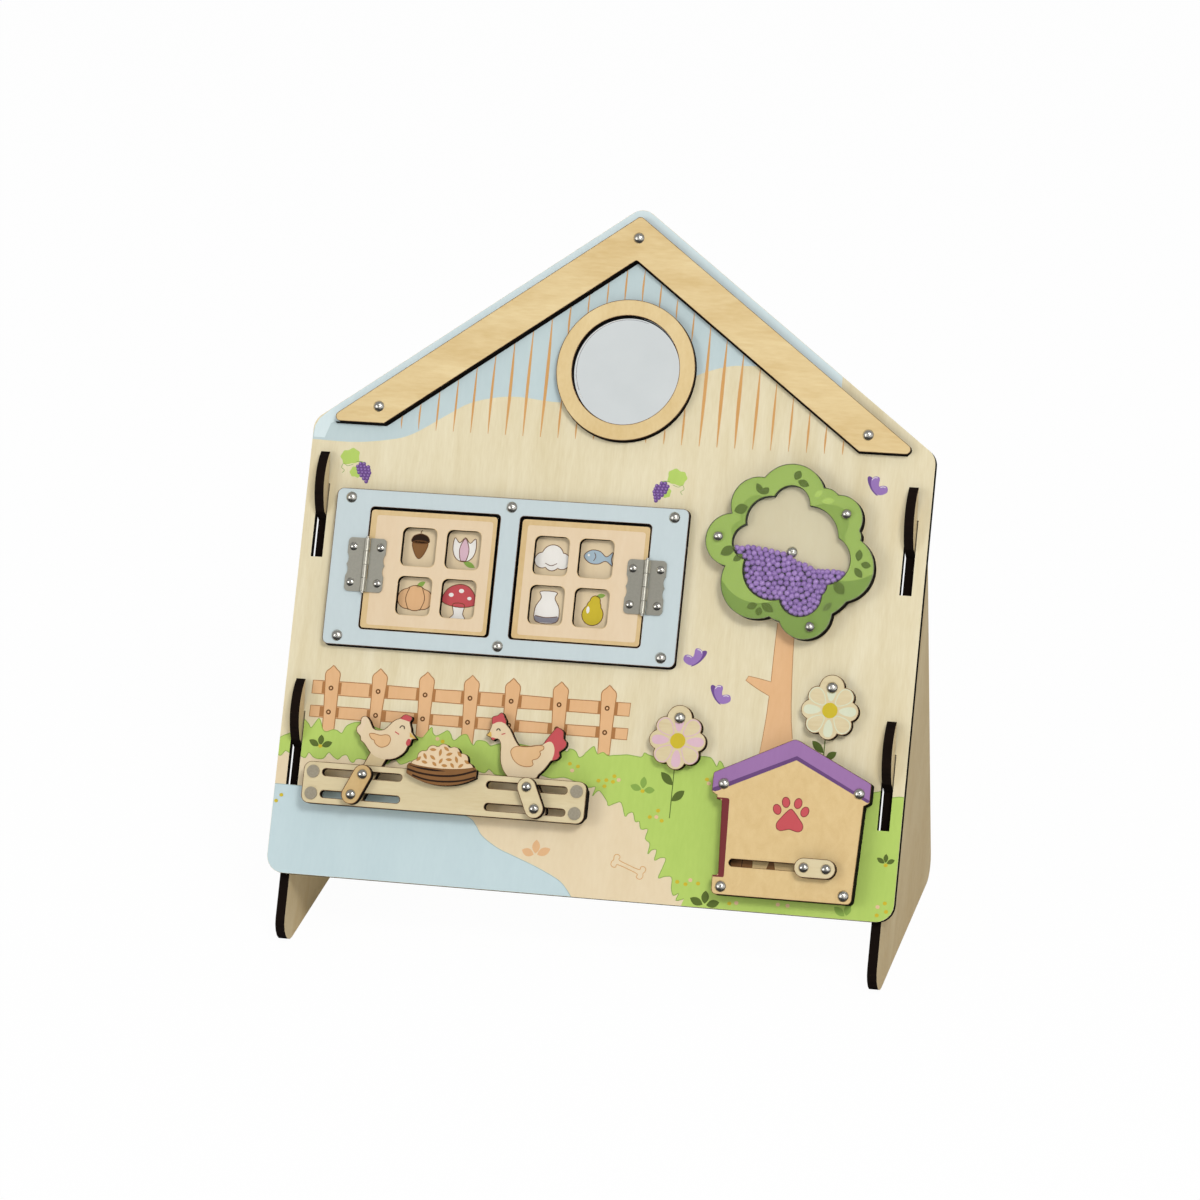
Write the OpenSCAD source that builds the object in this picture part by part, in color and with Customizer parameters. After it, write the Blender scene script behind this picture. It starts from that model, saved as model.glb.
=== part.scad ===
// Wooden busy board: a house-shaped play panel that hangs by four slots on the
// upward hooks of two plywood side supports. Everything on the front is laser-cut
// plywood held by domed post screws and barrel nuts. Units are millimetres.
// Board pieces are drawn in the board's own plane: u to the right from its middle,
// v up from its lower edge, n outwards from its front face.

/* [Board] */
// Width of the board
board_w = 400; // [396:2:440]
// Height of the side walls up to the shoulders, along the board
wall_h = 287; // [284:1:310]
// Rise of the gable above the shoulders, along the board
gable_h = 147; // [142:1:160]
// Thickness of the board
board_t = 5.5; // [5:0.5:9]
// Radius of the board's rounded corners
board_corner_r = 11; // [4:1:16]
// Backward lean of the board from upright, in degrees
lean = 34; // [28:1:38]
// Height of the board's lower edge above the ground
ground_gap = 45; // [35:1:60]
// Thickness of the thin plywood that the front pieces are cut from
ply = 4.5; // [4:0.25:5.5]

/* [Side supports] */
// Thickness of each side support
panel_t = 6; // [5:0.5:6.5]
// Depth of a side support along the ground
foot_depth = 169; // [150:1:200]
// Backward lean of a support's rear edge, in degrees
rear_lean = 5; // [0:1:7]
// Distance from the board's side edge to the middle of a slot
slot_inset = 11; // [9:0.5:11.5]
// Length of a hook slot
slot_len = 46.8; // [44:0.2:50]
// Height of the lower slots' upper ends above the board's lower edge
lower_slot_top = 102.3; // [95:0.5:112]
// Distance from the shoulders down to the upper slots' upper ends
upper_slot_drop = 40.2; // [38:0.2:60]
// Height of a hook's neck
neck_h = 18.7; // [14:0.5:22]
// Height of a hook's head
head_h = 40.5; // [34:0.5:44]
// Distance that a hook's head stands out in front of the board
head_out = 10; // [7:0.5:12]
// Radius of a support's front foot corner
front_foot_r = 12; // [4:1:16]
// Radius of a support's rear foot corner
rear_foot_r = 15; // [4:1:25]
// Radius of a support's upper tip
panel_tip_r = 6; // [3:0.5:9]

/* [Fasteners] */
// Radius of a screw's shank
shank_r = 1.5; // [1.2:0.1:1.8]
// Radius of a screw's domed head
screw_head_r = 3.6; // [3:0.1:3.8]
// Height of a screw's domed head
screw_head_h = 2; // [1.5:0.1:2.4]
// Radius of a barrel nut's flange
nut_flange_r = 4.2; // [3.5:0.1:5]
// Thickness of a barrel nut's flange
nut_flange_t = 1.2; // [0.8:0.1:2]
// Radius of a barrel nut's barrel
nut_barrel_r = 2.4; // [2.2:0.1:3]

/* [Gable] */
// Width of the roof trim's arms
trim_w = 22.6; // [18:0.2:25]
// Distance from the board's roof edge to the trim
trim_inset = 5.8; // [4:0.2:9]
// Distance that the trim's lower ends lie below the shoulders
trim_drop = 0.5; // [0:0.1:3]
// Outer radius of the mirror's ring
ring_r = 44.5; // [40:0.5:47]
// Inner radius of the mirror's ring
ring_hole_r = 34.5; // [30:0.5:37]
// Height of the mirror's centre above the shoulders
ring_rise = 42; // [38:0.5:44]
// Thickness of the mirror
mirror_t = 1.5; // [1:0.5:3]

/* [Window] */
// Width of the window frame
frame_w = 228; // [220:1:234]
// Height of the window frame
frame_h = 99; // [97:0.5:106]
// Distance from the board's left edge to the frame
frame_inset = 22; // [20:0.5:26]
// Height of the frame's middle above the board's lower edge
frame_v = 194.6; // [180:0.2:205]
// Width of each of the frame's two openings
opening_w = 84.7; // [80:0.1:87]
// Height of the openings
opening_h = 77.4; // [72:0.2:80]
// Width of the bar between the openings
mullion_w = 12.7; // [11:0.1:16]
// Gap between a shutter and the frame at its hinge and its lower edge
shutter_gap = 0.8; // [0.5:0.1:1.2]
// Gap between a shutter and the frame at its free edge and its upper edge
shutter_play = 1.8; // [1:0.1:2.5]
// Width of a shutter's pane
pane_w = 22.4; // [18:0.2:23]
// Height of a shutter's pane
pane_h = 24.5; // [18:0.5:26]
// Width of a shutter's glazing bars
pane_bar = 6.4; // [4:0.2:7]
// Distance from a shutter's free edge to its nearest panes
pane_margin = 9.2; // [8:0.2:11]

/* [Hinges] */
// Height of a hinge leaf
leaf_h = 34; // [30:0.5:38]
// Width of a hinge leaf, from the hinge's axis
leaf_w = 12.4; // [11.9:0.1:13]
// Thickness of a hinge leaf
leaf_t = 1; // [0.8:0.1:1.2]
// Radius of a hinge knuckle
knuckle_r = 1.8; // [1.6:0.1:2.2]
// Radius of a hinge pin
hinge_pin_r = 0.9; // [0.7:0.05:1]
// Distance from a hinge's axis to its rivets
rivet_u = 8.8; // [8:0.1:9]
// Distance from a hinge's middle to its rivets, along the axis
rivet_v = 11.3; // [10:0.1:12]
// Radius of a hinge rivet's head
rivet_head_r = 2.7; // [2:0.1:2.9]
// Height of a hinge rivet's head
rivet_head_h = 1.3; // [1:0.1:1.5]
// Heights of the left and right hinges above the frame's middle
hinge_rise = [1.5, -0.8];

/* [Tree crown] */
// Gap that the turning crown keeps to the window frame
crown_gap = 10.2; // [4:0.2:14]
// Gap that the turning crown keeps to the right hook
hook_gap = 12.6; // [6:0.2:16]
// Height of the crown's pivot above the board's lower edge
crown_v = 221.6; // [221.6:0.2:226]
// Thickness of the crown's wooden back
crown_back_t = 3; // [2.5:0.1:4]
// Thickness of the crown's clear cover
cover_t = 1.5; // [1:0.1:2]
// Radius of a bead
bead_r = 1.9; // [1.4:0.05:2]

/* [Flowers] */
// Distances from the board's right edge to the pivots of the pink and white flowers
flower_inset = [143.1, 49.8];
// Heights of the pivots of the pink and white flowers
flower_v = [114.5, 139.8];
// Distance from a flower's pivot to its middle
flower_drop = 14; // [13:0.1:14]
// Distance from a flower's middle to its petals' tips
flower_r = 18; // [16:0.1:18]
// Radius of a petal's round tip
petal_r = 6.2; // [5.5:0.1:6.5]

/* [Hen rail] */
// Width of the rail plate
rail_w = 182.7; // [178:0.5:190]
// Height of the rail plate
rail_h = 26.2; // [25:0.2:30]
// Distance from the board's left edge to the rail
rail_inset = 21.2; // [20:0.1:24]
// Height of the rail's middle above the board's lower edge
rail_v = 57.2; // [50:0.1:62]
// Distance that the rail stands off the board
rail_gap = 5.5; // [5.5:0.1:7]
// Distance from the rail's ends to its slots
rail_slot_inset = 12.2; // [11.5:0.1:14]
// Length of the rail's solid middle between its left and right slots
rail_middle = 54.6; // [50:0.2:60]
// Width of the slots that pins slide in
pin_slot_w = 4.5; // [4.4:0.05:4.8]
// Distance between the middles of the upper and lower rail slots
rail_slot_pitch = 13.7; // [13.6:0.05:13.8]
// Radius of the pins that slide in the slots
pin_r = 1.4; // [1.2:0.05:1.45]
// Distance between a link's two pins
link_pitch = 14.4; // [14.3:0.05:14.5]
// Radius of the links' and the knob's round ends
link_r = 6; // [5:0.1:6.4]
// Lean of a hen's link from upright, in degrees
hen_lean = 25; // [22:0.5:26]
// Places of the left and right hens' upper pins, from the middle of their slots
hen_rest = [1.4, 1];

/* [Kennel] */
// Distance from the board's right edge to the kennel's middle
kennel_inset = 68.3; // [68:0.1:71]
// Height of the kennel's lower edge above the board's lower edge
kennel_v = 8.3; // [7:0.1:10]
// Height of the kennel's walls up to the roof's lower corners
kennel_wall_h = 62.4; // [61:0.1:64]
// Height of the eaves' upright ends
eave_h = 11.8; // [10:0.1:13]
// Height of the kennel's ridge above the eaves
ridge_h = 24.2; // [18:0.2:25]
// Half of the roof's width
eave_u = 49.3; // [48:0.1:49.6]
// Half of the kennel's width at the foot of its walls
kennel_foot_u = 43.6; // [43:0.1:44.5]
// Height of the dog's doorway
doorway_h = 46.4; // [44:0.1:47]
// Thickness of the dog slider
dog_t = 3.3; // [2.5:0.1:3.4]
// Distance between the knob's two screws
knob_pitch = 13.8; // [12:0.1:14]
// Distance that the dog slides out
dog_travel = 45; // [35:0.5:46]

/* [Hidden] */

// Facets of round pieces, and steps of a rounded corner's arc
$fn = 48;
arc_steps = 6;
// Clearances: fixed screw in its hole, turning pin in its bore, sliding or turning faces
thread_gap = 0.05;
pivot_gap = 0.05;
face_gap = 0.3;
// A little extra that makes a cut pass through
cut = 1;

// Board
ridge_v = wall_h + gable_h;
roof_pitch = atan(gable_h / (board_w / 2));
slot_w = panel_t + 2 * 0.8;
slot_tops = [lower_slot_top, wall_h - upper_slot_drop];
slot_u = board_w / 2 - slot_inset;
nut_end = board_t - 0.8;
// The board's middle is set so that the whole part stands centred over the origin
tip_v = ridge_v - board_corner_r * (1 / cos(roof_pitch) - 1);
rearmost = tip_v * sin(lean) + board_t * cos(lean);
support_n = -board_t - face_gap;
toe_y = (-ground_gap - support_n * sin(lean)) * tan(lean) - support_n * cos(lean);
foremost = toe_y + front_foot_r * ((1 + sin(lean)) / cos(lean) - 1);
board_y = -(rearmost + foremost) / 2;

// Window
frame_u = -board_w / 2 + frame_inset + frame_w / 2;
opening_u = [frame_u - (mullion_w + opening_w) / 2, frame_u + (mullion_w + opening_w) / 2];
shutter_w = opening_w - shutter_gap - shutter_play;
shutter_h = opening_h - shutter_gap - shutter_play;
shutter_v = frame_v - opening_h / 2 + shutter_gap + shutter_h / 2;
pane_r = 4;
frame_screw_inset = [9.3, 5.7];
frame_posts = [for (x = [-1, 0, 1], y = [-1, 1])
    [frame_u + x * (frame_w / 2 - frame_screw_inset[0]), frame_v + y * (frame_h / 2 - frame_screw_inset[1])]];
// A hinge's axis lies over the gap at the opening's outer side
axis_u = [opening_u[0] - opening_w / 2 + shutter_gap / 2, opening_u[1] + opening_w / 2 - shutter_gap / 2];
axis_v = [frame_v + hinge_rise[0], frame_v + hinge_rise[1]];
axis_n = ply + knuckle_r;
knuckles = 4;
knuckle_gap = 0.3;
rivet_shank_r = 1;
rivet_bite = 3.5;

// Gable
trim_out_v = ridge_v - trim_inset / cos(roof_pitch);
trim_in_v = trim_out_v - trim_w / cos(roof_pitch);
trim_low_v = wall_h - trim_drop;
trim_tip_r = 3;
trim_notch_r = 2;
trim_posts = [
    [0, (trim_out_v + trim_in_v) / 2],
    for (side = [-1, 1])
        let (v = trim_low_v + trim_w * 0.47)
        [side * ((trim_out_v + trim_in_v) / 2 - v) / tan(roof_pitch), v]
];
ring_v = wall_h + ring_rise;
mirror_gap = 0.3;

// Tree crown: [u, v, radius] of the lobes, from the pivot
// of a crown that reaches 56 mm; the crown fills the room between the frame and the right hook
crown_room = slot_u - panel_t / 2 - hook_gap - (frame_u + frame_w / 2 + crown_gap);
crown_u = slot_u - panel_t / 2 - hook_gap - crown_room / 2;
crown_k = crown_room / 113.2;
crown_lobes = crown_k * [[-2.7, 32.7, 21.4], [18.5, 30, 10.4], [28.3, 21.7, 14.9], [37.4, 11.2, 6],
    [31.9, -8.5, 21.2], [15, -14, 27.2], [12.6, -37, 16.9], [-1.5, -29.6, 14.1], [-18.9, -20.3, 23],
    [-37.5, 4.7, 16.6], [-22.8, 27.5, 17.4]];
window_lobes = crown_k * [[-2.4, 28.9, 11.7], [8.8, 8.4, 20.3], [22.4, -4, 15.4], [17.6, -20.2, 7.2],
    [8.8, -26.6, 13.4], [-9.6, -11.8, 19.2], [-25.8, 4.2, 11.3], [-14.5, 18, 15.3]];
crown_screw_at = crown_k * [[-46, 6.3], [33, 24.9], [16.8, -46]];
crown_screw_r = 1.2;
crown_screw_bite = 2;
crown_spacer_t = 1;
crown_n = crown_spacer_t + face_gap;
ring_n = crown_n + crown_back_t;
cover_n = ring_n + ply;
// The beads lie in rows under a sloping line through two points
bead_pitch = 2 * bead_r + 0.12;
bead_line = crown_k * [[-36, 1.7], [35.6, -11.5]];

// Flowers
petals = 8;
flower_spacer_t = 0.8;
flower_n = flower_spacer_t + face_gap;
flower_tab_r = 8;
pink_at = [board_w / 2 - flower_inset[0], flower_v[0]];
white_at = [board_w / 2 - flower_inset[1], flower_v[1]];

// Hen rail
rail_u = -board_w / 2 + rail_inset + rail_w / 2;
rail_slot_len = (rail_w - rail_middle) / 2 - rail_slot_inset;
rail_slot_u = (rail_middle + rail_slot_len) / 2;
rail_n = rail_gap;
rail_corner_r = 5;
rail_spacer_w = 8.5;
rail_rivet_inset = 6.2;
rail_rivet_r = 4;
rail_rivet_t = 0.6;
rail_rivets_at = [for (x = [-1, 1], y = [-1, 1])
    [rail_u + x * (rail_w / 2 - rail_rivet_inset), rail_v + y * rail_slot_pitch / 2]];
hen_t = rail_gap - 2 * 0.5;
hen_n = (rail_gap - hen_t) / 2;
link_n = rail_n + ply + face_gap;
stem_r = link_r - 0.4;
stem_up = 19;
hen_pins = [
    [rail_u - rail_slot_u + hen_rest[0], rail_v + rail_slot_pitch / 2],
    [rail_u + rail_slot_u + hen_rest[1], rail_v + rail_slot_pitch / 2]
];
// The hens' outlines face right, about the upper pin: over the back from the tail to the comb, then
// down past the beak, the wattle and the belly
left_hen = [[-0.5, 16], [-3.9, 20.2], [-6.4, 22], [-6.9, 24.5], [-9.1, 26.5], [-9.9, 28.5], [-9.5, 30.6],
    [-7.6, 32.4], [-7.7, 35], [-6.7, 36.8], [-4.7, 37.4], [-3, 36.4], [-1.3, 34.2], [0.8, 30.4], [2.8, 29.4],
    [5.3, 29.3], [8.3, 30], [10.8, 32.4], [12.8, 34.8], [15.3, 36.6], [18, 37.8], [19.3, 39.3], [21.3, 40.3],
    [23.3, 39.8], [25.3, 39], [25.6, 37.3], [24.5, 35.4], [25.7, 31.8], [26.3, 29.3], [28.6, 26.8], [29.8, 25.2],
    [26.8, 24.9], [26.2, 21.6], [24.5, 20.2], [23.6, 17.6], [21.2, 14.8], [17.6, 12.4], [13.3, 11.2],
    [9, 11.4], [5, 12.4], [1.5, 14.2]];
right_hen = [[-1.5, 6], [-4.2, 9], [-7.2, 12], [-9.7, 15.5], [-11.4, 18.1], [-14.6, 18.9], [-16.7, 21.5],
    [-16.1, 24], [-18.7, 26], [-20.2, 28.5], [-19.7, 31], [-17.9, 32.6], [-17.7, 36.6], [-15.2, 38.6],
    [-13.2, 39.2], [-11.6, 37.8], [-9.2, 34.5], [-6.2, 30], [-4.9, 28], [-0.2, 26.8], [4.8, 25.9], [9.6, 26],
    [11.8, 28.1], [13.8, 31], [16.8, 36], [19.6, 38.8], [19.7, 41], [21, 43], [21.7, 44.6], [23, 45.8],
    [24.5, 45.2], [25.7, 43.9], [28.2, 43.2], [29.3, 41.6], [28.9, 38], [29.6, 35.4], [30.2, 33], [31.9, 30.9],
    [29.1, 30], [28.2, 28.5], [26.8, 27.9], [25.4, 29.1], [23.6, 28.9], [22.1, 26.6], [21.7, 23], [21.4, 18],
    [20.6, 14], [18.8, 10.2], [16.4, 7.3], [13, 5.6]];
bowl_at = [rail_u - 1, rail_v + rail_h / 2 + 2];
bowl_w = 45;
bowl_h = 11.5;
bowl_belly_r = 44;
// The heap of feed is a cap of a disc whose middle lies below the rim
heap_r = 22;
heap_sink = 7.5;
grain_r = 4;

// Kennel, from its middle and the board's lower edge
kennel_u = board_w / 2 - kennel_inset;
eave_low_v = kennel_v + kennel_wall_h;
wall_top_u = kennel_foot_u + 2.2;
kennel_n = ply;
doorway_depth = 3.3;
doorway_v = kennel_v + 11.7;
room_gap = 1;
kennel_posts = [
    [-eave_u + 7, eave_low_v + 5.3], [eave_u - 7, eave_low_v + 5.3],
    [-kennel_foot_u + 5.4, kennel_v + 5], [kennel_foot_u - 5.4, kennel_v + 5]
];
dog_n = (ply - dog_t) / 2;
knob_n = kennel_n + ply + face_gap;
knob_v = kennel_v + 20;
// At rest the knob's right screw lies near the slot's right end
knob_u = kennel_foot_u - 23.4;
// The dog's size follows its doorway
dog_k = doorway_h / 46.4;
dog_nose_u = -kennel_foot_u + doorway_depth + 1.5;
dog_floor_v = doorway_v - room_gap + face_gap;
dog_discs = dog_k * [[54, 18, 12], [16, 32, 11.5], [6.5, 29, 6.2], [24, 36, 8], [64, 27, 5.5]];
dog_back = dog_k * [[18, 8], [60, 8], [60, 30], [18, 30]];
dog_slot_end = knob_u + knob_pitch / 2 + pin_slot_w / 2;
dog_slot_len = knob_pitch + dog_travel + pin_slot_w + 0.4;

// ---------- helpers ----------

function unit(v) = v / norm(v);

// Points of the arc of radius r that rounds the corner b between a and c
function corner_arc(a, b, c, r) =
    let (to_a = unit(a - b), to_c = unit(c - b), half = acos(to_a * to_c) / 2,
         centre = b + unit(to_a + to_c) * r / sin(half),
         first = b + to_a * r / tan(half) - centre, last = b + to_c * r / tan(half) - centre,
         from = atan2(first[1], first[0]), turn = atan2(last[1], last[0]) - from,
         sweep = turn > 180 ? turn - 360 : turn < -180 ? turn + 360 : turn)
    [for (i = [0 : arc_steps]) centre + r * [cos(from + sweep * i / arc_steps), sin(from + sweep * i / arc_steps)]];

// An outline whose corners are rounded with one radius, or with one each
function rounded(points, r) =
    let (count = len(points))
    [for (i = [0 : count - 1])
        let (radius = is_list(r) ? r[i] : r)
        each radius > 0
            ? corner_arc(points[(i + count - 1) % count], points[i], points[(i + 1) % count], radius)
            : [points[i]]];

// A smooth closed line through the points, with one more point between each two
function smooth(points) =
    let (count = len(points))
    [for (i = [0 : count - 1])
        let (a = points[(i + count - 1) % count], b = points[i], c = points[(i + 1) % count],
             d = points[(i + 2) % count])
        each [b, (9 * (b + c) - a - d) / 16]];

function box_points(w, h) = [[-w / 2, -h / 2], [w / 2, -h / 2], [w / 2, h / 2], [-w / 2, h / 2]];

// Places its children in the board's plane
module on_board(u = 0, v = 0, n = 0) {
    translate([0, board_y, ground_gap]) rotate([90 - lean, 0, 0]) translate([u, v, n]) children();
}

module plate(w, h, r, t) {
    linear_extrude(t) polygon(rounded(box_points(w, h), r));
}

// A slot or bar with round ends along u, whose ends' centres lie half its span from the middle
module stadium(span, r, t) {
    linear_extrude(t) {
        square([span, 2 * r], center = true);
        for (side = [-1, 1]) translate([side * span / 2, 0]) circle(r);
    }
}

// Round plates at a list of [u, v, radius]
module discs(list, t) {
    for (disc = list) translate([disc[0], disc[1], 0]) cylinder(r = disc[2], h = t);
}

module dome(r, h) {
    ball_r = (r * r + h * h) / (2 * h);
    intersection() {
        translate([0, 0, h - ball_r]) sphere(ball_r);
        cylinder(r = r + cut, h = h + cut);
    }
}

// A domed screw whose head sits at n = 0 and whose shank goes down by depth
module domed_screw(r, depth, head_r = screw_head_r, head_h = screw_head_h) {
    dome(head_r, head_h);
    translate([0, 0, -depth]) cylinder(r = r, h = depth);
}

module hole(r, t) {
    translate([0, 0, -cut]) cylinder(r = r, h = t + 2 * cut);
}

module screw_holes(places, t, r = shank_r + thread_gap) {
    for (at = places) translate([at[0], at[1], 0]) hole(r, t);
}

// A post screw from the face at height n down into its barrel nut
module post_screw(at, n) {
    translate([at[0], at[1], n]) domed_screw(shank_r, n + nut_end - cut);
}

// ---------- board and gable ----------

module board_outline() {
    half = board_w / 2;
    polygon(rounded([[-half, 0], [half, 0], [half, wall_h], [0, ridge_v], [-half, wall_h]], board_corner_r));
}

all_posts = concat(trim_posts, frame_posts, [for (p = kennel_posts) p + [kennel_u, 0]],
    [[crown_u, crown_v], pink_at, white_at]);

module front_board() {
    color("wheat") on_board(n = -board_t) difference() {
        linear_extrude(board_t) board_outline();
        for (side = [-1, 1], top = slot_tops)
            translate([side * slot_u - slot_w / 2, top - slot_len, -cut]) cube([slot_w, slot_len, board_t + 2 * cut]);
        screw_holes(all_posts, board_t, nut_barrel_r + thread_gap);
        screw_holes(rail_rivets_at, board_t);
    }
}

module roof_trim() {
    tip_u = (trim_out_v - trim_low_v) / tan(roof_pitch);
    inner_u = (trim_in_v - trim_low_v) / tan(roof_pitch);
    corners = [[0, trim_out_v], [-tip_u, trim_low_v], [-inner_u, trim_low_v], [0, trim_in_v],
        [inner_u, trim_low_v], [tip_u, trim_low_v]];
    color("burlywood") on_board() difference() {
        linear_extrude(ply) polygon(rounded(corners, [trim_tip_r, trim_tip_r, 0, trim_notch_r, 0, trim_tip_r]));
        screw_holes(trim_posts, ply);
    }
}

module mirror_ring() {
    color("burlywood") on_board(0, ring_v) difference() {
        cylinder(r = ring_r, h = ply, $fn = 96);
        translate([0, 0, -cut]) cylinder(r = ring_hole_r, h = ply + 2 * cut, $fn = 96);
    }
}

module mirror_disc() {
    color("lightsteelblue") on_board(0, ring_v) cylinder(r = ring_hole_r - mirror_gap, h = mirror_t, $fn = 96);
}

module trim_screws() {
    color("silver") on_board() for (at = trim_posts) post_screw(at, ply);
}

module barrel_nuts() {
    color("silver") on_board(n = -board_t) for (at = all_posts) translate([at[0], at[1], 0]) difference() {
        union() {
            translate([0, 0, -nut_flange_t]) cylinder(r = nut_flange_r, h = nut_flange_t);
            cylinder(r = nut_barrel_r, h = nut_end);
        }
        cylinder(r = shank_r + thread_gap, h = nut_end + cut);
    }
}

// ---------- window, shutters and hinges ----------

module window_frame() {
    color("lightblue") on_board() difference() {
        translate([frame_u, frame_v, 0]) plate(frame_w, frame_h, 4, ply);
        for (u = opening_u) translate([u, frame_v, -cut]) plate(opening_w, opening_h, 2.5, ply + 2 * cut);
        screw_holes(frame_posts, ply);
        for (side = [0, 1]) rivet_holes(side, side == 0 ? -1 : 1);
    }
}

module frame_screws() {
    color("silver") on_board() for (at = frame_posts) post_screw(at, ply);
}

// Blind holes for the rivets of hinge number side, on its left (way -1) or right (way 1)
module rivet_holes(side, way) {
    for (y = [-1, 1])
        translate([axis_u[side] + way * rivet_u, axis_v[side] + y * rivet_v, ply - rivet_bite])
            cylinder(r = rivet_shank_r + thread_gap, h = rivet_bite + cut);
}

module hinge_rivets(side, way) {
    for (y = [-1, 1])
        translate([axis_u[side] + way * rivet_u, axis_v[side] + y * rivet_v, ply + leaf_t])
            domed_screw(rivet_shank_r, leaf_t + rivet_bite - 0.2, rivet_head_r, rivet_head_h);
}

// One leaf of hinge number side, on its left (way -1) or right (way 1), with every second knuckle
module hinge_leaf(side, way, first_knuckle, pin_gap) {
    pitch = leaf_h / knuckles;
    // Two shallow waves are cut from the outer edge, one on each side of its middle
    wave_w = leaf_h * 0.21;
    wave_deep = 1.1;
    wave_r = (wave_w * wave_w / 4 + wave_deep * wave_deep) / (2 * wave_deep);
    translate([axis_u[side], axis_v[side], ply]) difference() {
        union() {
            scale_way(way) difference() {
                linear_extrude(leaf_t) polygon(rounded([[1, -leaf_h / 2], [leaf_w, -leaf_h / 2],
                    [leaf_w, leaf_h / 2], [1, leaf_h / 2]], [0, 2.6, 2.6, 0]));
                for (y = [-1, 1]) translate([leaf_w - wave_deep + wave_r, y * wave_w / 2, 0]) hole(wave_r, leaf_t);
                for (y = [-1, 1]) translate([rivet_u, y * rivet_v, 0]) hole(rivet_shank_r + thread_gap, leaf_t);
            }
            for (k = [first_knuckle : 2 : knuckles - 1]) {
                low = -leaf_h / 2 + k * pitch + knuckle_gap / 2;
                translate([0, low, knuckle_r]) rotate([-90, 0, 0]) cylinder(r = knuckle_r, h = pitch - knuckle_gap);
                translate([way > 0 ? 0 : -2, low, 0]) cube([2, pitch - knuckle_gap, leaf_t]);
            }
        }
        // Room for the other leaf's knuckles
        for (k = [1 - first_knuckle : 2 : knuckles - 1])
            translate([-knuckle_r - face_gap, -leaf_h / 2 + k * pitch - knuckle_gap / 2, -cut])
                cube([2 * (knuckle_r + face_gap), pitch + knuckle_gap, 2 * knuckle_r + 2 * cut]);
        translate([0, -leaf_h / 2 - cut, knuckle_r]) rotate([-90, 0, 0])
            cylinder(r = hinge_pin_r + pin_gap, h = leaf_h + 2 * cut);
    }
}

// Draws its children to the right (way 1) or mirrored to the left (way -1)
module scale_way(way) {
    if (way > 0) children();
    else mirror([1, 0, 0]) children();
}

module hinge_frame_leaves() {
    color("darkgray") on_board() {
        hinge_leaf(0, -1, 1, thread_gap);
        hinge_leaf(1, 1, 1, thread_gap);
    }
}

module hinge_frame_rivets() {
    color("silver") on_board() {
        hinge_rivets(0, -1);
        hinge_rivets(1, 1);
    }
}

module hinge_pins() {
    pin_len = leaf_h + 2.2;
    color("silver") on_board() for (side = [0, 1])
        translate([axis_u[side], axis_v[side] - pin_len / 2, axis_n]) rotate([-90, 0, 0])
            cylinder(r = hinge_pin_r, h = pin_len);
}

// A shutter with four panes; way points from its hinge to its free edge
module shutter_panel(side, way) {
    hinge_edge = opening_u[side] - way * (opening_w / 2 - shutter_gap);
    free_edge = hinge_edge + way * shutter_w;
    pane_step = [pane_w + pane_bar, pane_h + pane_bar];
    color("burlywood") on_board(n = face_gap) difference() {
        translate([hinge_edge + way * shutter_w / 2, shutter_v, 0]) plate(shutter_w, shutter_h, 2, ply - face_gap);
        for (i = [0, 1], j = [-0.5, 0.5])
            translate([free_edge - way * (pane_margin + pane_w / 2 + i * pane_step[0]), shutter_v + j * pane_step[1], -cut])
                plate(pane_w, pane_h, pane_r, ply + 2 * cut);
        translate([0, 0, -face_gap]) rivet_holes(side, way);
    }
}

module left_shutter_panel() { shutter_panel(0, 1); }
module left_shutter_leaf() { color("darkgray") on_board() hinge_leaf(0, 1, 0, pivot_gap); }
module left_shutter_rivets() { color("silver") on_board() hinge_rivets(0, 1); }
module right_shutter_panel() { shutter_panel(1, -1); }
module right_shutter_leaf() { color("darkgray") on_board() hinge_leaf(1, -1, 0, pivot_gap); }
module right_shutter_rivets() { color("silver") on_board() hinge_rivets(1, -1); }

// ---------- tree crown ----------

// A cloud of round lobes with its inside filled
module lobes(list, t) {
    discs(list, t);
    linear_extrude(t) polygon([for (lobe = list) [lobe[0], lobe[1]]]);
}

module crown_back() {
    color("tan") on_board(crown_u, crown_v, crown_n) difference() {
        lobes(crown_lobes, crown_back_t);
        hole(shank_r + pivot_gap, crown_back_t);
        for (at = crown_screw_at) translate([at[0], at[1], crown_back_t - crown_screw_bite - 0.2])
            cylinder(r = crown_screw_r + thread_gap, h = crown_back_t);
    }
}

module crown_ring() {
    color("yellowgreen") on_board(crown_u, crown_v, ring_n) difference() {
        lobes(crown_lobes, ply);
        translate([0, 0, -cut]) lobes(window_lobes, ply + 2 * cut);
        screw_holes(crown_screw_at, ply, crown_screw_r + thread_gap);
    }
}

module crown_cover() {
    color("white", 0.3) on_board(crown_u, crown_v, cover_n) difference() {
        lobes(crown_lobes, cover_t);
        screw_holes(crown_screw_at, cover_t, crown_screw_r + thread_gap);
    }
}

module crown_screws() {
    color("silver") on_board(crown_u, crown_v, cover_n + cover_t) for (at = crown_screw_at)
        translate([at[0], at[1], 0]) domed_screw(crown_screw_r, cover_t + ply + crown_screw_bite, 3.1, 1.8);
}

// Whether a bead at p lies inside the window, under the beads' surface and clear of the pivot
function bead_fits(p) =
    let (slope = (bead_line[1][1] - bead_line[0][1]) / (bead_line[1][0] - bead_line[0][0]))
    p[1] < bead_line[0][1] + slope * (p[0] - bead_line[0][0])
    && norm(p) > screw_head_r + bead_r + face_gap
    && max([for (lobe = window_lobes) lobe[2] - norm(p - [lobe[0], lobe[1]])]) > bead_r + 0.1;

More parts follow.
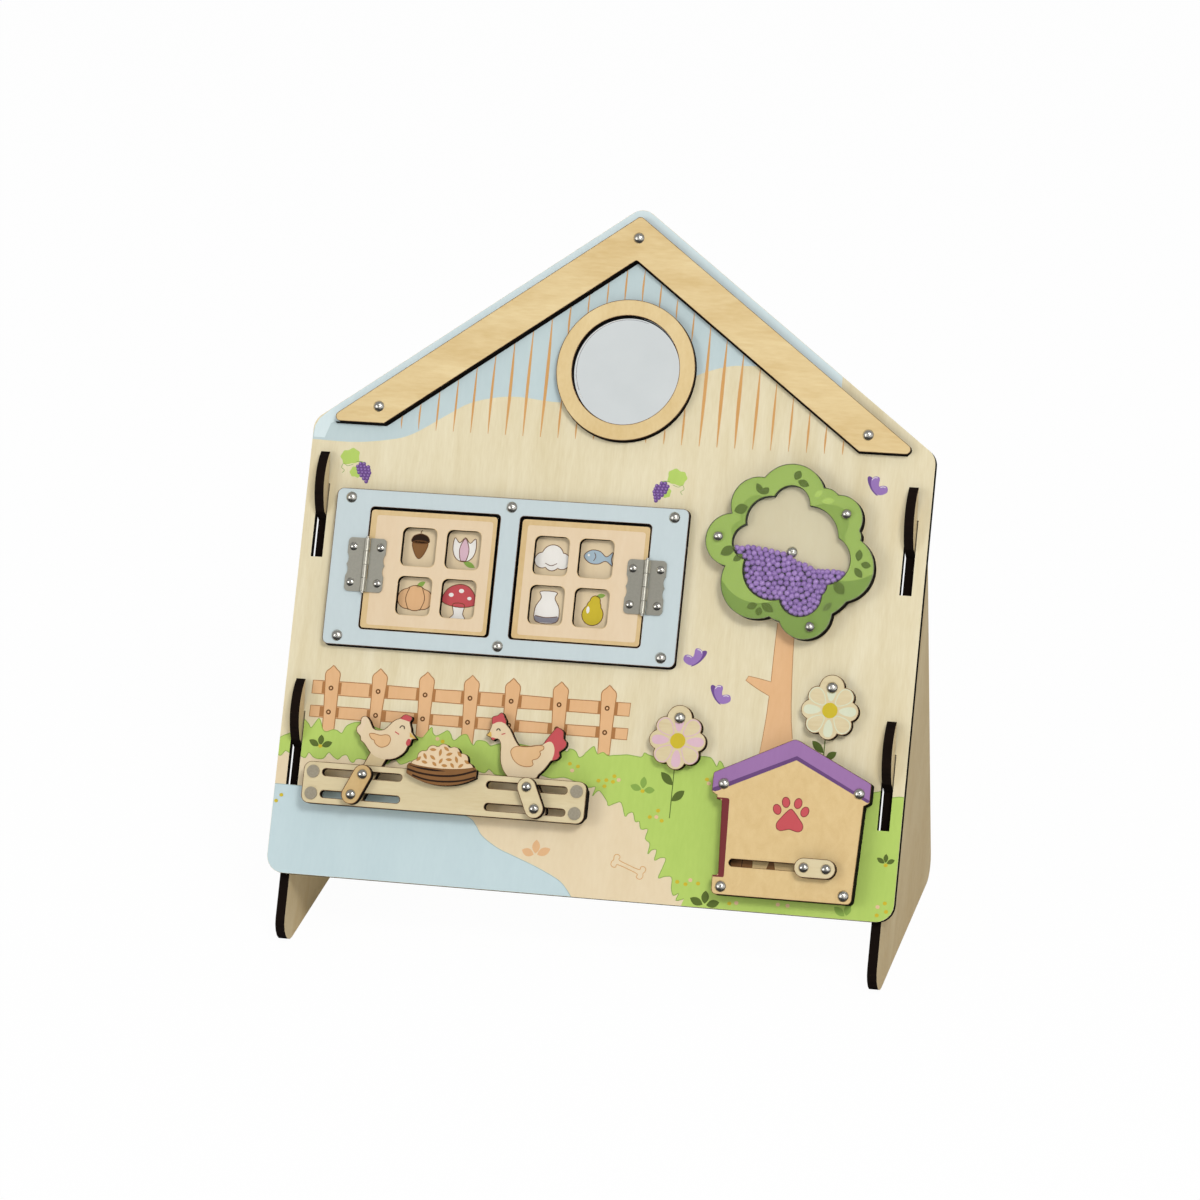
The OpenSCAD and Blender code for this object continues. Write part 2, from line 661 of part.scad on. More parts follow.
module crown_beads() {
    row_step = bead_pitch * sqrt(3) / 2;
    rows = ceil(45 * crown_k / row_step);
    columns = ceil(42 * crown_k / bead_pitch);
    color("mediumpurple") on_board(crown_u, crown_v, ring_n + bead_r + 0.1)
        for (j = [-rows : 1], i = [-columns : columns]) {
            p = [(i + (j % 2 == 0 ? 0 : 0.5)) * bead_pitch, j * row_step];
            if (bead_fits(p)) translate([p[0], p[1], 0]) sphere(bead_r);
        }
}

module crown_pivot_screw() {
    color("silver") on_board() post_screw([crown_u, crown_v], ring_n + 0.1);
}

module crown_spacer() {
    color("silver") on_board(crown_u, crown_v) difference() {
        cylinder(r = 5, h = crown_spacer_t);
        hole(shank_r + thread_gap, crown_spacer_t);
    }
}

// ---------- flowers ----------

function petal_at(a) = [(flower_r - petal_r) * cos(a), (flower_r - petal_r) * sin(a), petal_r];

module flower_plate() {
    difference() {
        union() {
            discs([[0, 0, flower_tab_r], [0, -flower_drop, flower_r - petal_r]], ply);
            translate([0, -flower_drop, 0])
                discs([for (i = [0 : petals - 1]) petal_at(i * 360 / petals)], ply);
        }
        hole(shank_r + pivot_gap, ply);
    }
}

module pink_flower() { color("pink") on_board(pink_at[0], pink_at[1], flower_n) flower_plate(); }
module white_flower() { color("ivory") on_board(white_at[0], white_at[1], flower_n) flower_plate(); }

module flower_screws() {
    color("silver") on_board() for (at = [pink_at, white_at]) post_screw(at, flower_n + ply + face_gap);
}

module flower_spacers() {
    color("silver") on_board() for (at = [pink_at, white_at]) translate([at[0], at[1], 0]) difference() {
        cylinder(r = 4.5, h = flower_spacer_t);
        hole(shank_r + thread_gap, flower_spacer_t);
    }
}

// ---------- hen rail ----------

module rail_plate() {
    color("wheat") on_board(rail_u, rail_v, rail_n) difference() {
        plate(rail_w, rail_h, rail_corner_r, ply);
        for (x = [-1, 1], y = [-1, 1])
            translate([x * rail_slot_u, y * rail_slot_pitch / 2, -cut])
                stadium(rail_slot_len - pin_slot_w, pin_slot_w / 2, ply + 2 * cut);
        for (at = rail_rivets_at) translate([at[0] - rail_u, at[1] - rail_v, 0]) hole(shank_r + thread_gap, ply);
    }
}

module rail_spacers() {
    color("wheat") on_board(rail_u, rail_v) difference() {
        for (x = [-1, 1])
            translate([x * (rail_w - rail_spacer_w - 1) / 2, 0, 0]) plate(rail_spacer_w, rail_slot_pitch + 6.4, 3, rail_gap);
        for (at = rail_rivets_at) translate([at[0] - rail_u, at[1] - rail_v, 0]) hole(shank_r + thread_gap, rail_gap);
    }
}

module rail_rivets() {
    stack = rail_n + ply + board_t;
    color("gray") on_board(n = -board_t) for (at = rail_rivets_at) translate([at[0], at[1], 0]) {
        translate([0, 0, -rail_rivet_t]) cylinder(r = rail_rivet_r - 0.5, h = rail_rivet_t);
        cylinder(r = shank_r, h = stack);
        translate([0, 0, stack]) cylinder(r = rail_rivet_r, h = rail_rivet_t);
    }
}

module feed_bowl() {
    color("peru") on_board(bowl_at[0], bowl_at[1], rail_n + ply) {
        intersection() {
            translate([-bowl_w / 2, -bowl_h, 0]) cube([bowl_w, bowl_h, ply]);
            translate([0, bowl_belly_r - bowl_h, 0]) cylinder(r = bowl_belly_r, h = ply);
        }
        intersection() {
            translate([-bowl_w / 2, -1, 0]) cube([bowl_w, 2 * heap_r, ply]);
            translate([0, -heap_sink, 0]) discs(concat([[0, 0, heap_r - 1.5]], [for (a = [24 : 22 : 156])
                [(heap_r - grain_r) * cos(a), (heap_r - grain_r) * sin(a), grain_r]]), ply);
        }
    }
}

// Draws its children about upper pin number side, facing the bowl
module at_hen(side, n) {
    on_board(hen_pins[side][0], hen_pins[side][1], n) scale_way(side == 0 ? 1 : -1) children();
}

// A hen with its stem, which runs down behind the rail to the lower pin, and its two pin holes
module hen_plate(outline) {
    difference() {
        union() {
            linear_extrude(hen_t) polygon(smooth(outline));
            rotate(-hen_lean) {
                translate([-stem_r, -link_pitch, 0]) cube([2 * stem_r, link_pitch + stem_up, hen_t]);
                translate([0, -link_pitch, 0]) cylinder(r = stem_r, h = hen_t);
            }
        }
        hole(pin_r + pivot_gap, hen_t);
        rotate(-hen_lean) translate([0, -link_pitch, 0]) hole(pin_r + thread_gap, hen_t);
    }
}

module left_hen_figure() {
    color("seashell") at_hen(0, hen_n) hen_plate(left_hen);
}

module right_hen_figure() {
    color("seashell") at_hen(1, hen_n) hen_plate(right_hen);
}

// A link bar in front of the rail, over the two pins
module hen_link(side) {
    color("burlywood") at_hen(side, link_n) rotate(-hen_lean) difference() {
        translate([0, -link_pitch / 2, 0]) rotate(90) stadium(link_pitch, link_r, ply);
        hole(pin_r + pivot_gap, ply);
        translate([0, -link_pitch, 0]) hole(pin_r + thread_gap, ply);
    }
}

// A domed pin through a link and a rail slot into a hen; down is 0 for the upper pin
module hen_pin(side, down) {
    color("silver") at_hen(side, link_n + ply + face_gap / 3) rotate(-hen_lean)
        translate([0, -down, 0]) domed_screw(pin_r, link_n + ply - hen_n - 0.5, 3.3, 2);
}

module left_hen_link() { hen_link(0); }
module right_hen_link() { hen_link(1); }
module left_hen_upper_pin() { hen_pin(0, 0); }
module left_hen_lower_pin() { hen_pin(0, link_pitch); }
module right_hen_upper_pin() { hen_pin(1, 0); }
module right_hen_lower_pin() { hen_pin(1, link_pitch); }

// ---------- kennel ----------

// The kennel's outline from its middle; the doorway is cut only in the front plate
module kennel_outline() {
    eave_top = eave_low_v + eave_h;
    polygon(rounded([
        [-kennel_foot_u, kennel_v], [kennel_foot_u, kennel_v], [wall_top_u, eave_low_v - 2], [eave_u, eave_low_v],
        [eave_u, eave_top], [0, eave_top + ridge_h], [-eave_u, eave_top], [-eave_u, eave_low_v],
        [-wall_top_u, eave_low_v - 2]
    ], [3, 3, 0, 2, 2, 5, 2, 2, 0]));
}

module kennel_front() {
    color("burlywood") on_board(kennel_u, 0, kennel_n) difference() {
        linear_extrude(ply) difference() {
            kennel_outline();
            polygon(rounded([
                [-eave_u - 9, doorway_v], [-kennel_foot_u + doorway_depth, doorway_v],
                [-wall_top_u + doorway_depth, doorway_v + doorway_h], [-eave_u - 9, doorway_v + doorway_h]
            ], [0, 2, 2, 0]));
        }
        translate([dog_slot_end - dog_slot_len / 2, knob_v, -cut])
            stadium(dog_slot_len - pin_slot_w, pin_slot_w / 2, ply + 2 * cut);
        screw_holes(kennel_posts, ply);
    }
}

// Holds the front off the board round the room that the dog slides in, which is open to the left
module kennel_spacer() {
    color("burlywood") on_board(kennel_u) difference() {
        linear_extrude(ply) difference() {
            kennel_outline();
            translate([-eave_u - 10, doorway_v - room_gap])
                square([eave_u + 10 + kennel_foot_u - 4, doorway_h + 1.6 * room_gap]);
        }
        screw_holes(kennel_posts, ply);
    }
}

module kennel_screws() {
    color("silver") on_board() for (at = kennel_posts) post_screw(at + [kennel_u, 0], kennel_n + ply);
}

// A dog in side view, facing left, on a straight base that runs along the kennel's floor
module dog_shape() {
    translate([dog_nose_u, dog_floor_v, 0]) {
        cube([knob_u + knob_pitch / 2 + 3.3 - dog_nose_u, 13 * dog_k, dog_t]);
        linear_extrude(dog_t) polygon(dog_back);
        discs(dog_discs, dog_t);
    }
}

knob_screws_at = [for (side = [-1, 1]) [knob_u + side * knob_pitch / 2, knob_v]];

module dog_figure() {
    color("sandybrown") on_board(kennel_u, 0, dog_n) difference() {
        dog_shape();
        screw_holes(knob_screws_at, dog_t, pin_r + thread_gap);
    }
}

module dog_knob() {
    color("burlywood") on_board(kennel_u, 0, knob_n) difference() {
        translate([knob_u, knob_v, 0]) stadium(knob_pitch, link_r, ply);
        screw_holes(knob_screws_at, ply, pin_r + thread_gap);
    }
}

module dog_knob_screws() {
    color("silver") on_board(kennel_u, 0, knob_n + ply) for (at = knob_screws_at)
        translate([at[0], at[1], 0]) domed_screw(pin_r, knob_n + ply - dog_n - 0.5, 3.3, 2);
}

// ---------- side supports ----------

// The y and z of a point of the board's plane, from the board's lower edge over the ground
function side_point(v, n) =
    [v * sin(lean) - n * cos(lean), ground_gap + v * cos(lean) + n * sin(lean)];

// A hook's outline in the board's plane, with n as x and v as y: a neck through the slot and
// a head that stands up in front of the board
module hook_outline(slot_top) {
    neck_low = slot_top - neck_h;
    tip = [head_out * 0.45, neck_low + head_h];
    // The front of the head is an arc from the neck's foot over the full reach to the tip
    mid = tip / 2 + [0, neck_low / 2];
    chord = norm(tip - [0, neck_low]);
    bulge = head_out - mid[0];
    arc_r = chord * chord / (8 * bulge) + bulge / 2;
    centre = mid + [bulge - arc_r, 0];
    polygon([[support_n - cut, neck_low - 4], [support_n, neck_low - 4], [face_gap + 1, neck_low],
        [face_gap + 1, slot_top - 0.1], [support_n - cut, slot_top - 0.1]]);
    intersection() {
        translate(centre) circle(arc_r, $fn = 96);
        polygon([[face_gap, neck_low], [head_out + cut, neck_low], [head_out + cut, tip[1]],
            [tip[0], tip[1]], [face_gap, slot_top - 0.1]]);
    }
}

module side_support(x) {
    tip_reach = foot_depth + toe_y;
    // Where the front edge and the rear edge meet
    front_y0 = side_point(0, support_n)[0] - side_point(0, support_n)[1] * tan(lean);
    tip_z = (tip_reach - front_y0) / (tan(lean) - tan(rear_lean));
    corners = [[toe_y, 0], [tip_reach, 0], [tip_reach + tip_z * tan(rear_lean), tip_z]];
    color("wheat") translate([x - panel_t / 2, board_y, 0]) rotate([90, 0, 90]) linear_extrude(panel_t) {
        polygon(rounded(corners, [front_foot_r, rear_foot_r, panel_tip_r]));
        for (top = slot_tops)
            translate([0, ground_gap]) rotate(-lean) mirror([1, 0]) hook_outline(top);
    }
}

module left_side_support() { side_support(-slot_u); }
module right_side_support() { side_support(slot_u); }

// ---------- the part ----------

front_board();
roof_trim();
mirror_ring();
mirror_disc();
window_frame();
hinge_frame_leaves();
hinge_pins();
hinge_frame_rivets();
rail_plate();
rail_spacers();
rail_rivets();
feed_bowl();
kennel_front();
kennel_spacer();
trim_screws();
frame_screws();
kennel_screws();
crown_pivot_screw();
crown_spacer();
flower_screws();
flower_spacers();
barrel_nuts();
left_shutter_panel();
left_shutter_leaf();
left_shutter_rivets();
right_shutter_panel();
right_shutter_leaf();
right_shutter_rivets();
crown_back();
crown_ring();
crown_cover();
crown_screws();
crown_beads();
pink_flower();
white_flower();
left_hen_figure();
left_hen_link();
left_hen_upper_pin();
left_hen_lower_pin();
right_hen_figure();
right_hen_link();
right_hen_upper_pin();
right_hen_lower_pin();
dog_figure();
dog_knob();
dog_knob_screws();
left_side_support();
right_side_support();
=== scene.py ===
"""Looks of the wooden busy board, dressed over its CAD frame.

Lengths in the tables below are millimetres in the leaning board's own axes:
u to the right, v up along the board, n out of its front face.
"""

import math
import random

import bmesh
import bpy
from mathutils import Matrix, Vector


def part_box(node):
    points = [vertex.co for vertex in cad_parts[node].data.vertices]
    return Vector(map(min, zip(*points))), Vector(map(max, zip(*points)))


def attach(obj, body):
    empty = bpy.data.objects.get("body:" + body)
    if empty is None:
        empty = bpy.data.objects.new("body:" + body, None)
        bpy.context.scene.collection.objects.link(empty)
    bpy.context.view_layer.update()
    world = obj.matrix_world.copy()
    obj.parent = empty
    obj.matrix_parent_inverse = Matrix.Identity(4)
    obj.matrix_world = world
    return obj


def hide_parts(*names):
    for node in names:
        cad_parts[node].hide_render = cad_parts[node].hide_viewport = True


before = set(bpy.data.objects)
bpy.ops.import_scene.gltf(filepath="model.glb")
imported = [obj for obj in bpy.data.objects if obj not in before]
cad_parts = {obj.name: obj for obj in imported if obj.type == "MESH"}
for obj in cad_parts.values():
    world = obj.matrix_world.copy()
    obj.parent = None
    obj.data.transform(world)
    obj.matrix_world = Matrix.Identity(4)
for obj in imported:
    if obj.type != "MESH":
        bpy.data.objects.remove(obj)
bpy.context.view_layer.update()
random.seed(7)

# The board leans back by LEAN, and its lower edge is 45 mm above the ground
LEAN = math.radians(34)
U = Vector((1, 0, 0))
V = Vector((0, math.sin(LEAN), math.cos(LEAN)))
N = Vector((0, -math.cos(LEAN), math.sin(LEAN)))
FOOT = Vector((0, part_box("front_board")[0].y, 0.045))
BOARD = Matrix.Translation(FOOT) @ Matrix((U, V, N)).transposed().to_4x4() @ Matrix.Scale(0.001, 4)
COAT = 0.05

# What carries a print: the height n of its face, its body and its slot
CARRIERS = {
    "board": (0, "board", "birch_board"),
    "mirror": (1.5, "board", "mirror"),
    "kennel": (9, "board", "kennel_wood"),
    "bowl": (14.5, "board", "feed_wood"),
    "left_shutter": (4.5, "left_shutter", "golden_birch"),
    "right_shutter": (4.5, "right_shutter", "golden_birch"),
    "crown": (8.8, "tree_crown", "leaf_green_wood"),
    "beads": (4.3, "tree_crown", "purple_beads"),
    "pink_flower": (5.6, "pink_flower", "pink_wood"),
    "white_flower": (5.6, "white_flower", "white_wood"),
    "left_hen": (5, "left_hen", "cream_wood"),
    "right_hen": (5, "right_hen", "cream_wood"),
    "dog": (3.9, "dog_slider", "kennel_wood"),
}


# ---------- shapes in the board's plane ----------

def polar(r, angle, u=0, v=0):
    """The point at that distance and angle from u, v."""
    turn = math.radians(angle)
    return u + r * math.cos(turn), v + r * math.sin(turn)


def arc(u, v, r, start=0, end=360, steps=24):
    """Points on an arc; the end point is left out on a full turn."""
    count = steps if abs(end - start) >= 360 else steps + 1
    return [polar(r, start + (end - start) * i / steps, u, v) for i in range(count)]


def oval(u, v, a, b, turn=0, steps=20):
    c, s = polar(1, turn)
    return [(u + a * x * c - b * y * s, v + a * x * s + b * y * c) for x, y in arc(0, 0, 1, steps=steps)]


def leaf(pu, pv, qu, qv, width, steps=7):
    """A leaf with two pointed ends, from (pu, pv) to (qu, qv)."""
    du, dv = qu - pu, qv - pv
    long = math.hypot(du, dv)
    side = [(i / steps, width / 2 * math.sin(math.pi * i / steps) ** 0.8) for i in range(steps + 1)]
    both = side + [(t, -w) for t, w in side[-2:0:-1]]
    return [(pu + du * t - dv / long * w, pv + dv * t + du / long * w) for t, w in both]


def curve(points, steps=4, closed=True):
    """A smooth line through the points."""
    n = len(points)
    out = []
    for i in range(n if closed else n - 1):
        a, b, c, d = (points[(i + k) % n if closed else min(max(i + k, 0), n - 1)] for k in (-1, 0, 1, 2))
        for j in range(steps):
            t = j / steps
            out.append(tuple(
                0.5 * (2 * b[k] + (c[k] - a[k]) * t + (2 * a[k] - 5 * b[k] + 4 * c[k] - d[k]) * t ** 2
                       + (3 * b[k] - a[k] - 3 * c[k] + d[k]) * t ** 3) for k in (0, 1)))
    return out if closed else out + [tuple(points[-1])]


def open_curve(points, steps=4):
    return curve(points, steps, closed=False)


def rounded(points, radius, steps=5):
    """A polygon with its corners rounded; radius is a number or one number for each corner."""
    n = len(points)
    radii = radius if hasattr(radius, "__len__") else [radius] * n
    out = []
    for i in range(n):
        a, b, c = (Vector(points[(i + k) % n]) for k in (-1, 0, 1))
        if radii[i] == 0:
            out.append(tuple(b))
            continue
        to_a, to_c = (a - b).normalized(), (c - b).normalized()
        half = to_a.angle(to_c) / 2
        reach = min(radii[i] / math.tan(half), 0.48 * (a - b).length, 0.48 * (c - b).length)
        start, end = b + to_a * reach, b + to_c * reach
        for j in range(steps + 1):
            t = j / steps
            out.append(tuple((1 - t) ** 2 * start + 2 * t * (1 - t) * b + t ** 2 * end))
    return out


def box(u0, v0, u1, v1, r=0):
    corners = [(u0, v0), (u1, v0), (u1, v1), (u0, v1)]
    return rounded(corners, r) if r else corners


def stroke(points, width, closed=False, taper=False):
    """The loops of a line of that width: one for an open line, two for a closed one."""
    n = len(points)
    left, right = [], []
    for i, p in enumerate(points):
        a = points[i - 1] if closed or i else p
        b = points[(i + 1) % n] if closed or i < n - 1 else p
        du, dv = b[0] - a[0], b[1] - a[1]
        long = math.hypot(du, dv) or 1
        half = width / 2 * (max(math.sin(math.pi * i / (n - 1)), 0.15) if taper else 1)
        left.append((p[0] - dv / long * half, p[1] + du / long * half))
        right.append((p[0] + dv / long * half, p[1] - du / long * half))
    return [left, right] if closed else [left + right[::-1]]


def filled(outlines):
    return [[points] for points in outlines]


def outlined(outlines, width):
    return [stroke(points, width, closed=True) for points in outlines]


def reach(discs, angle, inset=0):
    """How far a ray from the middle runs before it leaves the discs."""
    c, s = polar(1, angle)
    best = 0
    for x, y, r in discs:
        along, off = x * c + y * s, abs(x * s - y * c)
        if off < r - inset:
            best = max(best, along + math.sqrt((r - inset) ** 2 - off ** 2))
    return best


def blob(u, v, discs, inset=0.25, steps=120):
    """The outline of a union of discs round the point u, v; each disc is x, y, radius from there."""
    return [polar(reach(discs, 360 * i / steps, inset), 360 * i / steps, u, v) for i in range(steps)]


def moved(points, u, v, scale=1, turn=0, mirror=1):
    c, s = polar(scale, turn)
    return [(u + mirror * x * c - y * s, v + mirror * x * s + y * c) for x, y in points]


# ---------- pieces ----------

def slab(mesh, loops, low, high):
    """Adds a closed plate to the mesh: the first loop is its outline and the others are holes."""
    edges = []
    for loop in loops:
        ring = [mesh.verts.new((*p, low)) for p in loop]
        edges += [mesh.edges.new(pair) for pair in zip(ring, ring[1:] + ring[:1])]
    sheet = bmesh.ops.triangle_fill(mesh, edges=edges, normal=(0, 0, 1))["geom"]
    faces = [item for item in sheet if isinstance(item, bmesh.types.BMFace)]
    lifted = bmesh.ops.extrude_face_region(mesh, geom=faces)["geom"]
    verts = [item for item in lifted if isinstance(item, bmesh.types.BMVert)]
    bmesh.ops.translate(mesh, verts=verts, vec=(0, 0, high - low))


def finish_mesh(mesh, name, material, body):
    bmesh.ops.recalc_face_normals(mesh, faces=mesh.faces)
    data = bpy.data.meshes.new(name)
    mesh.to_mesh(data)
    mesh.free()
    data.materials.append(material)
    piece = bpy.data.objects.new(name, data)
    bpy.context.scene.collection.objects.link(piece)
    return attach(piece, body)


def inked(name, shapes, surface, layer, tint, body):
    """Ink on the surface n: each shape is a list of loops, and a higher layer covers a lower one."""
    mesh = bmesh.new()
    for loops in shapes:
        slab(mesh, loops, surface - COAT, surface + COAT * layer)
    mesh.transform(BOARD)
    return finish_mesh(mesh, name, ink[tint], body)


def printed(name, shapes, layer, tint, carrier="board"):
    surface, body, slot = CARRIERS[carrier]
    inked(name + "_print", shapes, surface, layer, tint, body)


def scorched(name, width, body="board", tone="outline"):
    """The thin dark line that the laser leaves along every edge of a plate's front."""
    plate = bmesh.new()
    plate.from_mesh(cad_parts[name].data)
    plate.transform(BOARD.inverted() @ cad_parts[name].matrix_world)
    bmesh.ops.remove_doubles(plate, verts=plate.verts, dist=0.002)
    top = max(vert.co.z for vert in plate.verts)
    front = {face for face in plate.faces if all(top - vert.co.z < 0.01 for vert in face.verts)}
    after = {}
    for face in front:
        for corner in face.loops:
            if not front & set(corner.edge.link_faces) - {face}:
                after[corner.vert.co.xy.to_tuple(3)] = corner.link_loop_next.vert.co.xy.to_tuple(3)
    plate.free()
    bands = []
    while after:
        path = [next(iter(after))]
        while path[-1] in after:
            path.append(after.pop(path[-1]))
        path = [Vector(p) for p in path[:-1]]
        inner, outer = [], []
        for i, here in enumerate(path):
            a = (here - path[i - 1]).normalized().orthogonal()
            b = (path[(i + 1) % len(path)] - here).normalized().orthogonal()
            inward = (a + b) / max(1 + a.dot(b), 0.3)
            outer.append(tuple(here + inward * 0.02))
            inner.append(tuple(here + inward * (0.02 + width)))
        bands.append([outer, inner])
    inked(name + "_scorch", bands, top, 4, tone, body)


# ---------- materials ----------

def colour(code):
    """An sRGB hex code as linear red, green, blue and alpha."""
    parts = [int(code[i:i + 2], 16) / 255 for i in (0, 2, 4)]
    return tuple(c / 12.92 if c <= 0.04045 else ((c + 0.055) / 1.055) ** 2.4 for c in parts) + (1,)


def feed(node, inputs):
    """Gives each input a value, or links the socket or the node's first output that feeds it."""
    for key, value in inputs.items():
        if isinstance(value, bpy.types.Node):
            value = value.outputs[0]
        if isinstance(value, bpy.types.NodeSocket):
            node.id_data.links.new(value, node.inputs[key])
        else:
            node.inputs[key].default_value = value
    return node


def add(tree, kind, inputs=None, **settings):
    """Adds a shader node with its settings and inputs."""
    node = tree.nodes.new("ShaderNode" + kind)
    for key, value in settings.items():
        setattr(node, key, value)
    return feed(node, inputs or {})


def material(name):
    made = bpy.data.materials.new(name)
    made.use_nodes = True
    return made, made.node_tree, made.node_tree.nodes["Principled BSDF"]


def board_mm(tree):
    """Object coordinates, and the same in millimetres along u, v and n."""
    place = add(tree, "TexCoord")
    return place, add(tree, "Mapping", {"Vector": place.outputs["Object"], "Scale": (1000, 1000, 1000),
                                        "Rotation": (LEAN - math.pi / 2, 0, 0)})


def timber(name, pale, dark, stretch=(0.045, 0.012, 0.045), figure=0.6, edge="140C07", face=N, rough=0.5):
    """Satin birch ply or a print on it: soft clouds drawn out along the grain, fine pale fibres in
    them, and laser-burnt cut edges where the surface doesn't lie along face."""
    made, tree, shader = material(name)
    place, mm = board_mm(tree)

    def stretched(scales):
        return add(tree, "VectorMath", {0: mm, 1: scales}, operation="MULTIPLY")

    cloud = add(tree, "TexNoise", {"Vector": stretched(stretch), "Scale": 1.0, "Detail": 3.0,
        "Roughness": 0.6, "Distortion": 0.5})
    fibre = add(tree, "TexNoise", {"Vector": stretched([s * 12 for s in stretch]), "Scale": 1.0,
        "Detail": 2.0})
    both = add(tree, "Mix", {0: 0.3, 2: cloud, 3: fibre}, data_type="FLOAT")
    share = add(tree, "MapRange", {"Value": both, "From Min": 0.32, "From Max": 0.68, "To Min": 0.0,
        "To Max": figure})
    skin = add(tree, "Mix", {0: share, 6: colour(pale), 7: colour(dark)}, data_type="RGBA").outputs[2]
    dull = add(tree, "MapRange", {"Value": fibre, "To Min": rough - 0.08, "To Max": rough + 0.12})
    if edge:
        along = add(tree, "VectorMath", {0: place.outputs["Normal"], 1: face}, operation="DOT_PRODUCT")
        size = add(tree, "Math", {0: along.outputs["Value"]}, operation="ABSOLUTE")
        cut = add(tree, "Math", {0: size, 1: 0.7}, operation="LESS_THAN")
        plies = add(tree, "TexNoise", {"Vector": stretched((0.02, 0.02, 1.6)), "Scale": 1.0, "Detail": 1.0})
        char = add(tree, "Mix", {0: plies, 6: colour("060302"), 7: colour(edge)}, data_type="RGBA")
        skin = add(tree, "Mix", {0: cut, 6: skin, 7: char.outputs[2]}, data_type="RGBA").outputs[2]
        dull = add(tree, "Math", {0: dull, 1: cut}, operation="MAXIMUM")
    bump = add(tree, "Bump", {"Height": both, "Strength": 0.1, "Distance": 0.0002})
    feed(shader, {"Base Color": skin, "Roughness": dull, "Normal": bump, "Specular IOR Level": 0.15})
    return made


def metal(name, tint, rough, wear, scale, spun=0.0):
    """Steel: fine wear spreads the highlight a little, and a spun head's turning marks run round
    its axis, which draws each highlight out into a wedge."""
    made, tree, shader = material(name)
    place, mm = board_mm(tree)
    spots = add(tree, "TexNoise", {"Vector": mm, "Scale": scale, "Detail": 3.0})
    worn = tuple(c * 0.8 for c in colour(tint)[:3]) + (1,)
    tone = add(tree, "Mix", {0: spots, 6: colour(tint), 7: worn}, data_type="RGBA")
    spread = add(tree, "MapRange", {"Value": spots, "To Min": rough, "To Max": rough + wear})
    feed(shader, {"Metallic": 1, "Base Color": tone.outputs[2], "Roughness": spread})
    if spun:
        around = add(tree, "VectorMath", {0: place.outputs["Normal"], 1: N}, operation="CROSS_PRODUCT")
        feed(shader, {"Tangent": add(tree, "VectorMath", {0: around}, operation="NORMALIZE"),
            "Anisotropic": spun})
    return made


def dress(nodes, skin):
    """Puts the material on those CAD nodes."""
    for name in nodes.split():
        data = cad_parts[name].data
        data.materials.clear()
        data.materials.append(skin)


dress("front_board", timber("birch_ply_satin", "EADFBF", "D6C599", (0.09, 0.011, 0.045), figure=0.66))
dress("crown_back", timber("crown_back_birch_satin", "DAD0B1", "CEBE98"))
dress("roof_trim", timber("trim_birch_satin", "E9D2A0", "D3B379", (0.011, 0.06, 0.1), figure=0.8))
dress("mirror_ring", timber("golden_birch_satin", "E6CE9C", "D2B276", (0.05, 0.025, 0.1)))
dress("left_shutter_panel right_shutter_panel",
      timber("shutter_birch_satin", "DDC292", "CAA76E", (0.05, 0.025, 0.1)))
dress("kennel_front kennel_spacer dog_figure",
      timber("kennel_birch_satin", "E2C690", "D2B078", (0.16, 0.1, 0.1)))
dress("rail_plate rail_spacers pink_flower white_flower right_hen_link dog_knob",
      timber("rail_birch_satin", "DFD0A9", "CBB688", (0.012, 0.08, 0.1)))
dress("left_hen_link", timber("link_birch_satin", "D2B37E", "BB975E", (0.06, 0.03, 0.1)))
dress("left_side_support right_side_support",
      timber("support_birch_satin", "D2C09A", "BFA679", edge="1D110A", face=U))
dress("window_frame", timber("frame_blue_paint_on_birch", "C9D5D6", "C1CDCE", edge="0F0906", rough=0.45))
dress("crown_ring", timber("crown_green_print_on_birch", "9EB859", "93AF52"))
dress("left_hen_figure right_hen_figure", timber("cream_print_on_birch", "E5D0AC", "DDC59D", edge="0D0704"))
dress("feed_bowl", timber("bowl_birch_satin", "DDC79D", "CDB081", edge="0D0704"))

# The inks of the prints, each with its pale and its dark tone; the near-black one is painted shadow, and the
# lighter sky of the rim is painted light
INKS = {
    "sky": "C6D5D5 BBCCCD", "sky_rim_painted_light": "DDEAEA D1E1E2", "painted_shadow": "0E0805 080503", "pond": "C8DADC BFD2D5",
    "pond_edge": "A3BCBC 98B1B1", "sand": "EAD8B6 E1CBA4", "grass": "BAD36C ACC760",
    "grass_edge": "8DB04E 83A548", "leaf_green": "687C3A 5F7332", "leaf_dark": "5E6F30 55662A",
    "leaf_soft": "8CAC50 84A44A", "orange": "E6B98A DDAC7A", "orange_dark": "B07B4A A47042",
    "stripe": "D8A467 CB9658", "peach": "E6D0B0 DFC5A0", "yellow": "D0BA36 C6AF2E",
    "pink_dot": "E6C39A DDB98E", "lilac": "9C7AB8 9472B0", "violet": "71508F 694886",
    "roof": "9F76A9 966DA0", "roof_dark": "6C4A7C 62416F", "paw_red": "C9565B C04F54",
    "maroon": "7C3537 732F31", "red": "C85659 BE4E52", "cream": "E5D0AC DDC59D", "feed": "E6CDA8 DEC29A",
    "wing": "E4BC8D DCB27F", "beak": "DDB861 D3AC54", "bare": "DBC69C CDB483", "brown": "896038 7C5530",
    "dark_brown": "2E1B0C 221208", "grain": "BC8A50 B07C42", "pink": "DCBAC5 D6B0BC",
    "mint": "DBDDC2 D2D6B8", "white": "F2EEE6 EAE4DA", "grey": "8E8B92 84818A",
    "steel_blue": "A9BCC6 9DB1BC", "crown_dark": "7F9B45 76923D", "crown_mid": "8DA84C 839E45",
    "crown_leaf": "5A6F24 52671E", "leaf_light": "B2CC66 A8C25E", "outline": "6E4727 623E20",
}
ink = {tint: timber(tint + "_ink_on_birch", *tones.split(), figure=0.7, edge=None, rough=0.42)
       for tint, tones in INKS.items()}

